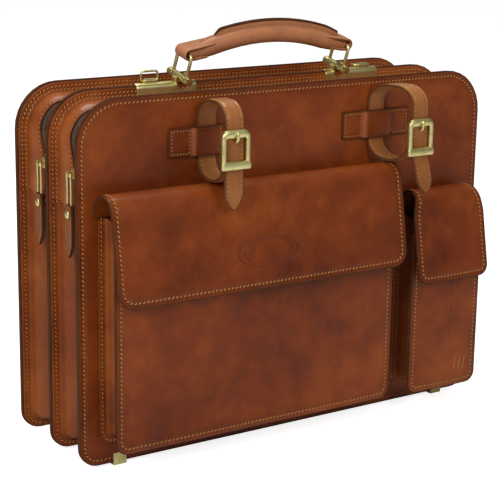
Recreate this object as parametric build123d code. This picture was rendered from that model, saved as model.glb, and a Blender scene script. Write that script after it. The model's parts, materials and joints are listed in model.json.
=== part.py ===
from build123d import *
import os
from math import atan, cos, degrees, radians, sin

os.makedirs("parts", exist_ok=True)

# A three-board leather briefcase. X runs along the bag, -Y is its front, +Z is up.
# It is drawn with y = 0 on the front board's face and z = 0 at the boards' lower edge,
# and save() moves each part to the shared frame: centred, with the feet on z = 0.

# The bag
LENGTH = 410.0
HEIGHT = 300.0
DEPTH = 109.0
TOP_RADIUS = 38.0
BOTTOM_RADIUS = 17.0
FACE_LEATHER = 2.4
LINING = 1.6
BOARD = FACE_LEATHER + LINING
CENTRE_Y = 52.0
FOOT_DROP = 2.5
GAP = 0.3

# Gussets and zip bands, which stand inside the boards' edges
GUSSET_INSET = 9.0
GUSSET_RIM = 0.8
BAND_RIM = 4.0
GUSSET_LEATHER = 1.6
PLEAT = 7.0
SEAM_Z = 212.0
ZIP_HALF_WIDTH = 5.0
TEETH_INSET = 13.0
TEETH_THICK = 2.0
ZIP_BOTTOM_Z = 213.0
ZIP_BEND_Z = 262.0
ZIP_TRAVEL_GAP = 1.0
SLIDER_Z = 238.0
SLIDER_LENGTH = 9.0
PULL_WIRE = 0.9
PULL_LENGTH = 29.0
PULL_X = LENGTH / 2 - 7.4
TONGUE_END_Z = 170.0
TONGUE_WIDTH = 13.0

# Pockets on the front board
POCKET_DEPTH = 30.0
POCKET_PANEL = 2.4
POCKET_INSET = 8.0
MAIN_LEFT = -188.0
MAIN_RIGHT = 88.0
MAIN_BOTTOM = 17.0
MAIN_TOP = 198.0
MAIN_FLANGE_TOP = 207.0
PHONE_LEFT = 110.0
PHONE_RIGHT = 189.0
PHONE_BOTTOM = 15.0
PHONE_TOP = 163.0
PHONE_FLANGE_TOP = 180.0
FLAP_LEATHER = 2.4
MAIN_FLAP_LEFT = -191.0
MAIN_FLAP_RIGHT = 94.0
MAIN_FOLD_Z = 212.5
MAIN_FOLD_RADIUS = 15.3
MAIN_FLAP_END = 141.0
MAIN_FLAP_LEAN = 9.3
PHONE_FLAP_LEFT = 110.0
PHONE_FLAP_RIGHT = 190.0
PHONE_NECK = 6.0
PHONE_FOLD_Z = 185.0
PHONE_FOLD_RADIUS = 14.5
PHONE_FLAP_END = 119.5
PHONE_FLAP_LEAN = 10.2
FLAP_CLEARANCE = 2.0

# The two umbrella loops and their buckles
STRAP_WIDTH = 18.0
STRAP = 2.4
LOOP_DEPTH = 43.0
LOOP_TOP = 296.0
LOOP_BOTTOM = 229.8
LOOP_CORNER = 11.0
LEFT_LOOP_X = -87.5
RIGHT_LOOP_X = 85.5
RIGHT_LOOP_SKEW = 0.36
RIGHT_TAIL_LEAN = 10.5
BUCKLE_WIDTH = 27.0
BUCKLE_HEIGHT = 32.0
LEFT_BUCKLE_Z = 259.0
RIGHT_BUCKLE_Z = 253.0
BUCKLE_BAR = 7.2
BUCKLE_THICK = 2.7
LEG_WIDTH = 2.8
CENTRE_BAR_RADIUS = 1.3
CENTRE_BAR_Y = -38.0
TAIL_LENGTH = 32.0
RIGHT_TAIL_LENGTH = 38.5
KEEPER_LENGTH = 72.0
KEEPER_HEIGHT = 24.0
KEEPER_Z = 260.0
KEEPER_LEATHER = 2.0

# Handle, its swivels and the shoulder-strap rings
SWIVEL_X = 81.0
SWIVEL_Z = 304.6
HANDLE_TILT = 12.0
RING_LEAN = 8.0
RING_HEIGHT = 21.0
RING_WIRE = 1.5
BARREL_RADIUS = 3.25
BARREL_HALF = 16.0
EYE_Y = 10.5
EYE_WIDTH = 2.8
PIN_RADIUS = 1.5
RUNNING_FIT = 0.05
PLATE = 1.0
PLATE_OUTER_X = 124.0
PLATE_INNER_X = 67.0
PLATE_DEPTH = 9.0
SADDLE_Z = 295.0
SADDLE_HALF = 4.4
STRAP_RING_X = 110.0
STRAP_RING_WIDTH = 17.5
STRAP_RING_HEIGHT = 10.0
STRAP_RING_WIRE = 1.0
GRIP_HALF_LENGTH = 68.0
GRIP_RADIUS = 9.0
GRIP_END_Z = 0.5
GRIP_MIDDLE_Z = 12.5

# Feet
FOOT_X = 168.5
FOOT_WIDTH = 12.0
FOOT_METAL = 1.0
FOOT_REACH = 8.4

PRONG_FRONT = -48.2
SHIFT_Y = -(PRONG_FRONT + DEPTH + FOOT_METAL) / 2


def save(name, solid):
    """Writes one part in the shared frame."""
    export_step(Pos(0, SHIFT_Y, FOOT_DROP) * solid, f"parts/{name}.step")


def box(x0, x1, y0, y1, z0, z1):
    """A block between two corners."""
    middle = Pos((x0 + x1) / 2, (y0 + y1) / 2, (z0 + z1) / 2)
    return middle * Box(x1 - x0, y1 - y0, z1 - z0)


def rod(radius, length, axis):
    """A round bar centred on the origin along axis X, Y or Z."""
    turn = {"X": Rot(0, 90, 0), "Y": Rot(90, 0, 0), "Z": Rot(0, 0, 0)}[axis]
    return turn * Cylinder(radius, length)


def outline(x0, x1, z0, z1, top_radius, bottom_radius):
    """A rectangle in the front view with its own top and bottom corner radii."""
    middle = Pos((x0 + x1) / 2, (z0 + z1) / 2)
    face = Plane.XZ * middle * Rectangle(x1 - x0, z1 - z0)
    corners = face.vertices().sort_by(Axis.Z)
    if bottom_radius > 0:
        face = fillet(corners[:2], bottom_radius)
        corners = face.vertices().sort_by(Axis.Z)
    if top_radius > 0:
        face = fillet(corners[-2:], top_radius)
    return face


def board_outline(inset):
    """The boards' outline, moved inwards all round."""
    half = LENGTH / 2 - inset
    top = max(TOP_RADIUS - inset, 1.0)
    bottom = max(BOTTOM_RADIUS - inset, 1.0)
    return outline(-half, half, inset, HEIGHT - inset, top, bottom)


def plate(face, y0, y1):
    """A front-view outline given thickness from y0 back to y1."""
    return Pos(0, y1, 0) * extrude(face, amount=y1 - y0)


def side_profile(points, x0, x1):
    """A closed polygon of (y, z) points stretched from x0 to x1."""
    face = make_face(Plane.YZ * Polyline(*points, close=True))
    return Pos(x0, 0, 0) * extrude(face, amount=x1 - x0, dir=(1, 0, 0))


# Boards


def centre_board(y0, y1):
    """One leather of the centre board, notched under the two handle barrels."""
    leather = plate(board_outline(0), y0, y1)
    for side in (-1, 1):
        notch_x = side * SWIVEL_X
        saddle = box(notch_x - SADDLE_HALF, notch_x + SADDLE_HALF, y0, y1, SADDLE_Z, HEIGHT)
        leather -= saddle
    return leather


def boards():
    """Three boards, each of two leathers sewn face to face."""
    rear_inner = DEPTH - BOARD
    save("front_board_leather", plate(board_outline(0), 0, FACE_LEATHER))
    save("front_board_lining", plate(board_outline(0), FACE_LEATHER, BOARD))
    save("centre_board_front", centre_board(CENTRE_Y - BOARD / 2, CENTRE_Y))
    save("centre_board_rear", centre_board(CENTRE_Y, CENTRE_Y + BOARD / 2))
    save("rear_board_lining", plate(board_outline(0), rear_inner, rear_inner + LINING))
    save("rear_board_leather", plate(board_outline(0), rear_inner + LINING, DEPTH))


# Gussets, zip bands and zip teeth: each compartment's wall is made of two halves


def tapered_wall(length, reach):
    """A wall round the bag that leans in towards its free edge at y = -reach."""
    lean = degrees(atan(PLEAT / length))
    outer = extrude(board_outline(GUSSET_INSET), amount=reach, taper=lean)
    inner = extrude(board_outline(GUSSET_INSET + GUSSET_LEATHER), amount=reach, taper=lean)
    return outer - inner


def flange(rim_inset):
    """The edge turned outwards, which is sewn to the board; its rim lies inside the board's."""
    rim = board_outline(rim_inset) - board_outline(GUSSET_INSET + GUSSET_LEATHER)
    return extrude(rim, amount=GUSSET_LEATHER)


def below(solid, z):
    """Keeps what lies below height z."""
    return solid & box(-300, 300, -300, 300, -50, z)


def above(solid, z):
    """Keeps what lies above height z."""
    return solid & box(-300, 300, -300, 300, z, 400)


def gusset_half(length):
    """The lower half wall, from its flange to the bottom of the V pleat."""
    return below(tapered_wall(length, length - GAP / 2) + flange(GUSSET_RIM), SEAM_Z)


def zip_band_half(length):
    """The upper half wall, which stops short of the teeth."""
    wall = tapered_wall(length, length - ZIP_HALF_WIDTH)
    return above(wall + flange(BAND_RIM), SEAM_Z)


def zip_teeth_half(length):
    """One tape with its teeth, from the bend over the top to the other bend."""
    width = ZIP_HALF_WIDTH - GAP
    rim = board_outline(TEETH_INSET) - board_outline(TEETH_INSET + TEETH_THICK)
    tape = Pos(0, -(length - ZIP_HALF_WIDTH), 0) * extrude(rim, amount=width)
    return above(tape, ZIP_BEND_Z + ZIP_TRAVEL_GAP)


def towards_back(half, y):
    """Places a half wall on a board face at y so that it reaches backwards."""
    return Pos(0, y, 0) * mirror(half, Plane.XZ)


def towards_front(half, y):
    """Places a half wall on a board face at y so that it reaches forwards."""
    return Pos(0, y, 0) * half


def zip_end(y):
    """The closed lower ends of one zip: a slit tape on the left, a plain one on the right."""
    x0 = -LENGTH / 2 + TEETH_INSET
    half = ZIP_HALF_WIDTH - 0.5
    left = box(x0, x0 + TEETH_THICK, y - half, y + half, ZIP_BOTTOM_Z, ZIP_BEND_Z)
    left -= box(x0 - 1, x0 + TEETH_THICK + 1, y - 1.2, y + 1.2, 231, ZIP_BEND_Z + 1)
    right = box(-x0 - TEETH_THICK, -x0, y - half, y + half, ZIP_BOTTOM_Z, ZIP_BEND_Z)
    return left + right


def zip_slider(y):
    """The slider: two plates joined by a neck, with a bridge that holds the pull."""
    x0 = -LENGTH / 2 + TEETH_INSET
    low = SLIDER_Z - SLIDER_LENGTH / 2
    high = SLIDER_Z + SLIDER_LENGTH / 2
    outer = box(x0 - 2.0, x0 - 0.3, y - 4, y + 4, low, high)
    inner = box(x0 + TEETH_THICK + 0.3, x0 + TEETH_THICK + 1.5, y - 4, y + 4, low, high)
    neck = box(x0 - 0.5, x0 + TEETH_THICK + 0.5, y - 0.7, y + 0.7, low + 0.5, high - 0.5)
    bridge = box(-PULL_X - 2.0, x0 - 1.9, y - 1.5, y + 1.5, SLIDER_Z - 2.4, SLIDER_Z + 2.4)
    bore = Pos(-PULL_X, y, SLIDER_Z) * rod(PULL_WIRE + RUNNING_FIT, 10, "Y")
    return outer + inner + neck + bridge - bore


def pull_loop(y):
    """A long brass wire loop that hangs from the slider's bridge."""
    half = 3.2
    low = SLIDER_Z - PULL_LENGTH
    route = Plane.YZ * RectangleRounded(2 * half, PULL_LENGTH, 1.6)
    path = route.wires()[0]
    start = Plane(origin=path @ 0, z_dir=path % 0)
    wire = sweep(start * Circle(PULL_WIRE), path=path)
    return Pos(-PULL_X, y, (SLIDER_Z + low) / 2) * wire


def pull_tongue(y):
    """The leather tongue on the loop, pointed at its lower end."""
    top = SLIDER_Z - PULL_LENGTH + 4.5
    half = TONGUE_WIDTH / 2
    side = TONGUE_END_Z + 9
    points = [(y - half + 2, top), (y + half - 2, top), (y + half, side)]
    points += [(y, TONGUE_END_Z), (y - half, side)]
    tongue = side_profile(points, -PULL_X - 1.3, -PULL_X + 1.3)
    tongue -= pull_loop(y)
    tongue -= Pos(-PULL_X, y, SLIDER_Z - PULL_LENGTH - 3.6) * rod(1.2, 10, "X")
    return tongue


def pull_stud(y):
    """The round brass stud that closes the tongue below the loop."""
    post = rod(1.2, 4.6, "X")
    head = Pos(-2.0, 0, 0) * rod(3.5, 1.4, "X")
    cap = Pos(1.8, 0, 0) * rod(2.6, 1.0, "X")
    return Pos(-PULL_X, y, SLIDER_Z - PULL_LENGTH - 3.6) * (post + head + cap)


def saddles(y0, y1):
    """The hollows under the handle barrels, cut from what lies beside the centre board."""
    cuts = [box(x - SADDLE_HALF, x + SADDLE_HALF, y0, y1, SADDLE_Z, 400) for x in (-SWIVEL_X, SWIVEL_X)]
    return cuts[0] + cuts[1]


def compartment(name, y0, y1):
    """Everything between two boards whose facing sides are at y0 and y1."""
    length = (y1 - y0) / 2
    middle = (y0 + y1) / 2
    hollows = saddles(CENTRE_Y - 9, CENTRE_Y + 9)
    halves = {
        "gusset": gusset_half(length),
        "zip_band": zip_band_half(length),
        "zip_teeth": zip_teeth_half(length),
    }
    for part_name, half in halves.items():
        save(f"{name}_{part_name}_front", towards_back(half, y0) - hollows)
        save(f"{name}_{part_name}_back", towards_front(half, y1) - hollows)
    save(f"{name}_zip_end", zip_end(middle))
    save(f"{name}_zip_slider", zip_slider(middle))
    save(f"{name}_pull_loop", pull_loop(middle))
    save(f"{name}_pull_tongue", pull_tongue(middle))
    save(f"{name}_pull_stud", pull_stud(middle))


# Pockets


def pocket_panel(x0, x1, z0, z1, radius):
    """A pocket's front leather, with rounded lower corners."""
    face = outline(x0, x1, z0, z1, 0, radius)
    return plate(face, -POCKET_DEPTH, -POCKET_DEPTH + POCKET_PANEL)


def pocket_gusset(x0, x1, z0, z1, flange_top, radius):
    """A U-shaped wall from the board to the panel, with a flange sewn to the board."""
    back = -POCKET_DEPTH + POCKET_PANEL
    inset = POCKET_INSET
    rim = outline(x0, x1, z0, flange_top, 0, radius)
    wall_outside = outline(x0 + inset, x1 - inset, z0 + inset, flange_top, 0, radius - 5)
    wall_inside = outline(x0 + inset + 1.8, x1 - inset - 1.8, z0 + inset + 1.8, z1 + 60, 0, 2)
    wall = below(plate(wall_outside, back, 0), z1 - 4) - plate(wall_inside, back - 1, 1)
    edge = plate(rim, -1.6, 0) - plate(wall_inside, -5, 1)
    return wall + edge


def flap_fold(x0, x1, z, radius, seam_z):
    """The flap's root: a strip sewn to the board and bent over to the front."""
    middle_x = (x0 + x1) / 2
    arch = rod(radius, x1 - x0, "X") - rod(radius - FLAP_LEATHER, x1 - x0 + 2, "X")
    arch = above(Pos(middle_x, -radius, z) * arch, z)
    strip = box(x0, x1, -FLAP_LEATHER, 0, seam_z, z)
    return arch + strip


def flap_front(x0, x1, z, radius, end_z, lean, corner):
    """The hanging part of a flap, which leans away from the pocket."""
    axis_y = -2 * radius + FLAP_LEATHER / 2
    length = (z - end_z) / cos(radians(lean))
    face = outline(x0, x1, -length, -FLAP_CLEARANCE, 0, corner)
    slab = plate(face, -FLAP_LEATHER / 2, FLAP_LEATHER / 2)
    return Pos(0, axis_y, z) * (Rot(-lean, 0, 0) * slab)


def pockets():
    """The document pocket, the phone pocket and their flaps."""
    save("main_pocket_panel", pocket_panel(MAIN_LEFT, MAIN_RIGHT, MAIN_BOTTOM, MAIN_TOP, 12))
    main_wall = (MAIN_LEFT, MAIN_RIGHT, MAIN_BOTTOM, MAIN_TOP, MAIN_FLANGE_TOP - GAP, 12)
    save("main_pocket_gusset", pocket_gusset(*main_wall))
    save("phone_pocket_panel", pocket_panel(PHONE_LEFT, PHONE_RIGHT, PHONE_BOTTOM, PHONE_TOP, 10))
    phone_wall = (PHONE_LEFT, PHONE_RIGHT, PHONE_BOTTOM, PHONE_TOP, PHONE_FLANGE_TOP - GAP, 10)
    save("phone_pocket_gusset", pocket_gusset(*phone_wall))
    main_fold = (MAIN_FOLD_Z, MAIN_FOLD_RADIUS)
    save("main_flap_fold", flap_fold(MAIN_FLAP_LEFT, MAIN_FLAP_RIGHT, *main_fold, MAIN_FLANGE_TOP))
    main_hang = (*main_fold, MAIN_FLAP_END, MAIN_FLAP_LEAN, 14)
    save("main_flap", flap_front(MAIN_FLAP_LEFT, MAIN_FLAP_RIGHT, *main_hang))
    phone_fold = (PHONE_FOLD_Z, PHONE_FOLD_RADIUS)
    neck_left = PHONE_FLAP_LEFT + PHONE_NECK
    neck_right = PHONE_FLAP_RIGHT - PHONE_NECK
    save("phone_flap_fold", flap_fold(neck_left, neck_right, *phone_fold, PHONE_FLANGE_TOP))
    phone_hang = (*phone_fold, PHONE_FLAP_END, PHONE_FLAP_LEAN, 10)
    save("phone_flap", flap_front(PHONE_FLAP_LEFT, PHONE_FLAP_RIGHT, *phone_hang))


# Umbrella loops


def loop_ring(depth, bottom, thickness, width):
    """A closed strap ring in the side view, standing against the board."""
    middle = Pos(0, -depth / 2, (LOOP_TOP + bottom) / 2)
    tall = LOOP_TOP - bottom
    outside = Plane.YZ * RectangleRounded(depth, tall, LOOP_CORNER)
    hole = (depth - 2 * thickness, tall - 2 * thickness)
    inside = Plane.YZ * RectangleRounded(*hole, LOOP_CORNER - thickness)
    return middle * extrude(outside - inside, amount=width / 2, both=True)


def skewed(solid, width, skew):
    """Cuts a wide ring to strap width along a line that runs outwards to the front."""
    half = width / 2
    reach = 60.0
    corners = [(-half, 10), (half, 10), (half, 0), (half + skew * reach, -reach)]
    corners += [(-half + skew * reach, -reach), (-half, 0)]
    face = make_face(Polyline(*corners, close=True))
    return solid & (Pos(0, 0, 150) * extrude(face, amount=200))


def upper_end(buckle_z):
    """The height where the strap leaves the ring's straight front, behind the bottom bar."""
    return max(buckle_z - BUCKLE_HEIGHT / 2 - 1.6, LOOP_BOTTOM + LOOP_CORNER)


def upper_strap(skew, buckle_z):
    """The strap from behind the keeper over the top and down through the buckle."""
    shift = skew * (LOOP_DEPTH - STRAP / 2)
    ring = loop_ring(LOOP_DEPTH, LOOP_BOTTOM, STRAP, 80.0)
    strap = skewed(ring, STRAP_WIDTH, skew)
    strap -= box(-100, 100, -20, 5, 0, KEEPER_Z)
    strap -= box(-100, 100, -100, -20, 0, upper_end(buckle_z))
    hole_x = (shift - 2.1, shift + 2.1)
    return strap - box(*hole_x, -LOOP_DEPTH - 2, -39, buckle_z - 5, buckle_z + 9)


def lower_strap(skew, buckle_z):
    """The strap from behind the keeper under the loop and up to a sleeve on the centre bar."""
    shift = skew * (LOOP_DEPTH - STRAP / 2)
    ring = loop_ring(LOOP_DEPTH - STRAP - GAP, LOOP_BOTTOM, STRAP, 80.0)
    strap = skewed(ring, STRAP_WIDTH, skew)
    strap -= box(-100, 100, -20, 5, KEEPER_Z - GAP, 400)
    strap -= box(-100, 100, -100, -20, buckle_z, 400)
    bar = Pos(shift, CENTRE_BAR_Y, buckle_z)
    strap += bar * rod(CENTRE_BAR_RADIUS + 1.0, STRAP_WIDTH, "X")
    strap -= bar * rod(CENTRE_BAR_RADIUS, 60, "X")
    return strap - box(shift - 2.1, shift + 2.1, -60, -30, buckle_z - 3.6, buckle_z + 20)


def strap_tail(top_z, clearance, length, lean):
    """The free end of the upper strap, pointed, hanging below the buckle."""
    half = STRAP_WIDTH / 2
    points = [(-half, -clearance), (half, -clearance), (half, -length + 10)]
    points += [(half - 5, -length + 3.5), (0, -length), (-half + 5, -length + 3.5)]
    points += [(-half, -length + 10)]
    face = make_face(Plane.XZ * Polyline(*points, close=True))
    slab = Pos(0, STRAP / 2, 0) * extrude(face, amount=STRAP, dir=(0, -1, 0))
    return Pos(0, -LOOP_DEPTH + STRAP / 2, top_z) * (Rot(0, -lean, 0) * slab)


def buckle_frame(x, z):
    """A brass frame: bevelled top bar, thick bottom bar, two arched legs and a centre bar."""
    half = BUCKLE_WIDTH / 2
    tall = BUCKLE_HEIGHT / 2
    back = -LOOP_DEPTH - GAP
    front = back - BUCKLE_THICK
    top_bar = box(-half, half, front, back, tall - BUCKLE_BAR, tall)
    bottom_bar = box(-half, half, front, back, -tall, -tall + BUCKLE_BAR)
    rear = CENTRE_BAR_Y + CENTRE_BAR_RADIUS
    points = [(front, tall), (back, tall), (back, tall - BUCKLE_BAR), (rear, 2.0)]
    points += [(rear, -2.0), (back, -tall + BUCKLE_BAR), (back, -tall), (front, -tall)]
    frame = top_bar + bottom_bar
    for side in (-1, 1):
        inner = side * (half - LEG_WIDTH)
        outer = side * half
        frame += side_profile(points, min(inner, outer), max(inner, outer))
    frame += Pos(0, CENTRE_BAR_Y, 0) * rod(CENTRE_BAR_RADIUS, BUCKLE_WIDTH - 1, "X")
    return Pos(x, 0, z) * frame


def buckle_prong(x, z):
    """The prong: an eye on the centre bar, a stem through the strap and a tip on the top bar."""
    tip_y = -LOOP_DEPTH - GAP - BUCKLE_THICK - 0.2
    points = [(CENTRE_BAR_Y - 1.2, 1.6), (tip_y, 8.6), (tip_y, 14.5)]
    points += [(PRONG_FRONT, 14.5), (PRONG_FRONT, 7.4), (CENTRE_BAR_Y - 1.6, -0.8)]
    stem = side_profile(points, -1.5, 1.5)
    eye = Pos(0, CENTRE_BAR_Y, 0) * rod(CENTRE_BAR_RADIUS + 1.1, 3.0, "X")
    bore = Pos(0, CENTRE_BAR_Y, 0) * rod(CENTRE_BAR_RADIUS + RUNNING_FIT, 5.0, "X")
    return Pos(x, 0, z) * (stem + eye - bore)


def keeper(x):
    """A sewn leather strip whose middle stands off the board to hold the strap."""
    half = KEEPER_LENGTH / 2
    inside = STRAP_WIDTH / 2 + 0.6
    outside = inside + KEEPER_LEATHER
    lift = STRAP + GAP
    tall = KEEPER_HEIGHT / 2
    strip = box(-half, -inside, -KEEPER_LEATHER, 0, -tall, tall)
    strip += box(inside, half, -KEEPER_LEATHER, 0, -tall, tall)
    strip += box(-outside, -inside, -lift - KEEPER_LEATHER, 0, -tall, tall)
    strip += box(inside, outside, -lift - KEEPER_LEATHER, 0, -tall, tall)
    strip += box(-outside, outside, -lift - KEEPER_LEATHER, -lift, -tall, tall)
    return Pos(x, 0, KEEPER_Z) * strip


def umbrella_loops():
    """Both loops. The right one is pulled outwards and its tail lies slanted."""
    left = Pos(LEFT_LOOP_X, 0, 0)
    right = Pos(RIGHT_LOOP_X, 0, 0)
    shift = RIGHT_LOOP_SKEW * (LOOP_DEPTH - STRAP / 2)
    right_buckle_x = RIGHT_LOOP_X + shift
    save("left_strap_upper", left * upper_strap(0, LEFT_BUCKLE_Z))
    save("left_strap_lower", left * lower_strap(0, LEFT_BUCKLE_Z))
    tail_axis_z = LEFT_BUCKLE_Z - BUCKLE_HEIGHT / 2 - 2.0
    save("left_strap_tail", left * strap_tail(tail_axis_z, FLAP_CLEARANCE, TAIL_LENGTH, 0))
    right_end = upper_end(RIGHT_BUCKLE_Z)
    tail = strap_tail(right_end, -1.5, RIGHT_TAIL_LENGTH, RIGHT_TAIL_LEAN)
    upper = upper_strap(RIGHT_LOOP_SKEW, RIGHT_BUCKLE_Z) + Pos(shift, 0, 0) * tail
    save("right_strap_upper", right * upper)
    save("right_strap_lower", right * lower_strap(RIGHT_LOOP_SKEW, RIGHT_BUCKLE_Z))
    save("left_buckle", buckle_frame(LEFT_LOOP_X, LEFT_BUCKLE_Z))
    save("left_prong", buckle_prong(LEFT_LOOP_X, LEFT_BUCKLE_Z))
    save("right_buckle", buckle_frame(right_buckle_x, RIGHT_BUCKLE_Z))
    save("right_prong", buckle_prong(right_buckle_x, RIGHT_BUCKLE_Z))
    save("keepers", keeper(LEFT_LOOP_X) + keeper(RIGHT_LOOP_X))


# Handle and top hardware


def bracket(side):
    """A brass channel folded over the centre board, with two ears and a ring tube."""
    inner = BOARD / 2 + GUSSET_LEATHER
    outer = inner + PLATE
    x0, x1 = sorted((side * PLATE_OUTER_X, side * PLATE_INNER_X))
    top = HEIGHT + PLATE
    channel = box(x0, x1, CENTRE_Y - outer, CENTRE_Y + outer, HEIGHT - PLATE_DEPTH, top)
    channel -= box(x0 - 1, x1 + 1, CENTRE_Y - inner, CENTRE_Y + inner, 0, HEIGHT)
    swivel = side * SWIVEL_X
    saddle_x = (swivel - SADDLE_HALF, swivel + SADDLE_HALF)
    channel -= box(*saddle_x, CENTRE_Y - 9, CENTRE_Y + 9, SADDLE_Z, top + 1)
    pin = Pos(swivel, CENTRE_Y, SWIVEL_Z) * rod(PIN_RADIUS, 30, "X")
    for ear_side in (-1, 1):
        ear_x = swivel + ear_side * 5.4
        ear = box(ear_x - 1, ear_x + 1, CENTRE_Y - 3, CENTRE_Y + 3, HEIGHT, SWIVEL_Z)
        ear += Pos(ear_x, CENTRE_Y, SWIVEL_Z) * rod(3.0, 2.0, "X")
        channel += ear - box(ear_x - 2, ear_x + 2, 0, 99, 0, HEIGHT)
    channel -= pin
    tube_place = Pos(side * STRAP_RING_X, CENTRE_Y, top + 1.8)
    tube = tube_place * rod(2.1, 10.4, "X")
    bore = tube_place * rod(STRAP_RING_WIRE + RUNNING_FIT, 20.0, "X")
    return channel + tube - bore


def swivel_pins():
    """Two pins along X through the bracket ears, one for each handle barrel."""
    pins = [Pos(side * SWIVEL_X, CENTRE_Y, SWIVEL_Z) * rod(PIN_RADIUS, 13.6, "X") for side in (-1, 1)]
    return pins[0] + pins[1]


def strap_ring(side, turn):
    """A small wire ring in a bracket's tube, turned about the tube by an angle."""
    wire_path = Plane.XZ * RectangleRounded(
        STRAP_RING_WIDTH - 2 * STRAP_RING_WIRE, STRAP_RING_HEIGHT - 2 * STRAP_RING_WIRE, 2.2
    )
    path = wire_path.wires()[0]
    start = Plane(origin=path @ 0, z_dir=path % 0)
    ring = sweep(start * Circle(STRAP_RING_WIRE), path=path)
    ring = Pos(0, 0, STRAP_RING_HEIGHT / 2 - STRAP_RING_WIRE) * ring
    centre = Pos(side * STRAP_RING_X, CENTRE_Y, HEIGHT + PLATE + 1.8)
    return centre * (Rot(turn, 0, 0) * ring)


def tilted(solid):
    """Turns a handle part forwards with the swivels, about their common X axis."""
    pivot = Pos(0, CENTRE_Y, SWIVEL_Z)
    return pivot * (Rot(HANDLE_TILT, 0, 0) * solid)


def handle_barrel(side):
    """A cross barrel: a thick middle, two necks for the ring's eyes, and two knobs."""
    neck_from = EYE_Y - EYE_WIDTH / 2 - 0.2
    neck_to = EYE_Y + EYE_WIDTH / 2 + 0.2
    barrel = rod(1.8, 2 * BARREL_HALF - 2, "Y")
    barrel += rod(BARREL_RADIUS, 2 * neck_from, "Y")
    knob = BARREL_HALF - neck_to
    for end in (-1, 1):
        barrel += Pos(0, end * (BARREL_HALF - knob / 2), 0) * rod(BARREL_RADIUS, knob, "Y")
    barrel -= rod(PIN_RADIUS + RUNNING_FIT, 20, "X")
    return tilted(Pos(side * SWIVEL_X, 0, 0) * barrel)


def handle_ring(side):
    """A brass U of wire with two eyes on the barrel; its top bar carries the handle."""
    ring = Pos(0, 0, RING_HEIGHT) * rod(RING_WIRE, 2 * EYE_Y + 2 * RING_WIRE, "Y")
    bore = rod(1.8 + RUNNING_FIT, 60, "Y")
    for end in (-1, 1):
        ring += Pos(0, end * EYE_Y, RING_HEIGHT / 2 + 1) * rod(1.25, RING_HEIGHT - 2, "Z")
        ring += Pos(0, end * EYE_Y, 0) * rod(3.2, EYE_WIDTH, "Y")
    ring -= bore
    return tilted(Pos(side * SWIVEL_X, 0, 0) * (Rot(0, RING_LEAN, 0) * ring))


def handle_offset():
    """Where the handle's middle sits in the swivels' frame when the rings lean."""
    lean = radians(RING_LEAN)
    return Pos(RING_HEIGHT * sin(lean), 0, RING_HEIGHT * cos(lean))


def grip_tube(radius):
    """A round bar along the grip's arch, in the handle's own frame."""
    start = (-GRIP_HALF_LENGTH, 0, GRIP_END_Z)
    end = (GRIP_HALF_LENGTH, 0, GRIP_END_Z)
    path = ThreePointArc(start, (0, 0, GRIP_MIDDLE_Z), end)
    profile = Plane(origin=path @ 0, z_dir=path % 0) * Circle(radius)
    return sweep(profile, path=path)


def handle_grip():
    """The padded grip, its leather and rope core together."""
    return tilted(handle_offset() * grip_tube(GRIP_RADIUS))


def handle_tab(side):
    """The flat end of the handle leather, folded round the ring's top bar."""
    half = EYE_Y - 1.3 - 0.6
    x0, x1 = sorted((side * (GRIP_HALF_LENGTH - 3), side * SWIVEL_X))
    ring_bar = Pos(side * SWIVEL_X, 0, 0)
    tab = box(x0, x1, -half, half, -3.2, 5.5)
    tab += ring_bar * rod(4.2, 2 * half, "Y")
    tab -= ring_bar * rod(RING_WIRE + RUNNING_FIT, 60, "Y")
    tab -= grip_tube(GRIP_RADIUS)
    return tilted(handle_offset() * tab)


def handle_and_hardware():
    """Brackets, rings, swivels and the handle."""
    for name, side, ring_turn in (("left", -1, 0), ("right", 1, -90)):
        save(f"{name}_bracket", bracket(side))
        save(f"{name}_strap_ring", strap_ring(side, ring_turn))
        save(f"{name}_handle_barrel", handle_barrel(side))
        save(f"{name}_handle_ring", handle_ring(side))
        save(f"{name}_handle_tab", handle_tab(side))
    save("swivel_pins", swivel_pins())
    save("handle_grip", handle_grip())


# Feet


def feet(y0, y1):
    """Two brass clips folded under a board and its gusset flange, from y0 to y1."""
    pair = []
    for side in (-1, 1):
        x0 = side * FOOT_X - FOOT_WIDTH / 2
        x1 = side * FOOT_X + FOOT_WIDTH / 2
        clip = box(x0, x1, y0 - FOOT_METAL, y1 + FOOT_METAL, -FOOT_DROP, FOOT_REACH)
        pair.append(clip - box(x0 - 1, x1 + 1, y0, y1, 0, 20))
    return pair[0] + pair[1]


boards()
compartment("front", BOARD, CENTRE_Y - BOARD / 2)
compartment("rear", CENTRE_Y + BOARD / 2, DEPTH - BOARD)
pockets()
umbrella_loops()
handle_and_hardware()
save("front_feet", feet(0, BOARD + GUSSET_LEATHER))
save("rear_feet", feet(DEPTH - BOARD - GUSSET_LEATHER, DEPTH))
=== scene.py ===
import json
import math

import bmesh
import bpy
from mathutils import Matrix, Vector

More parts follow.
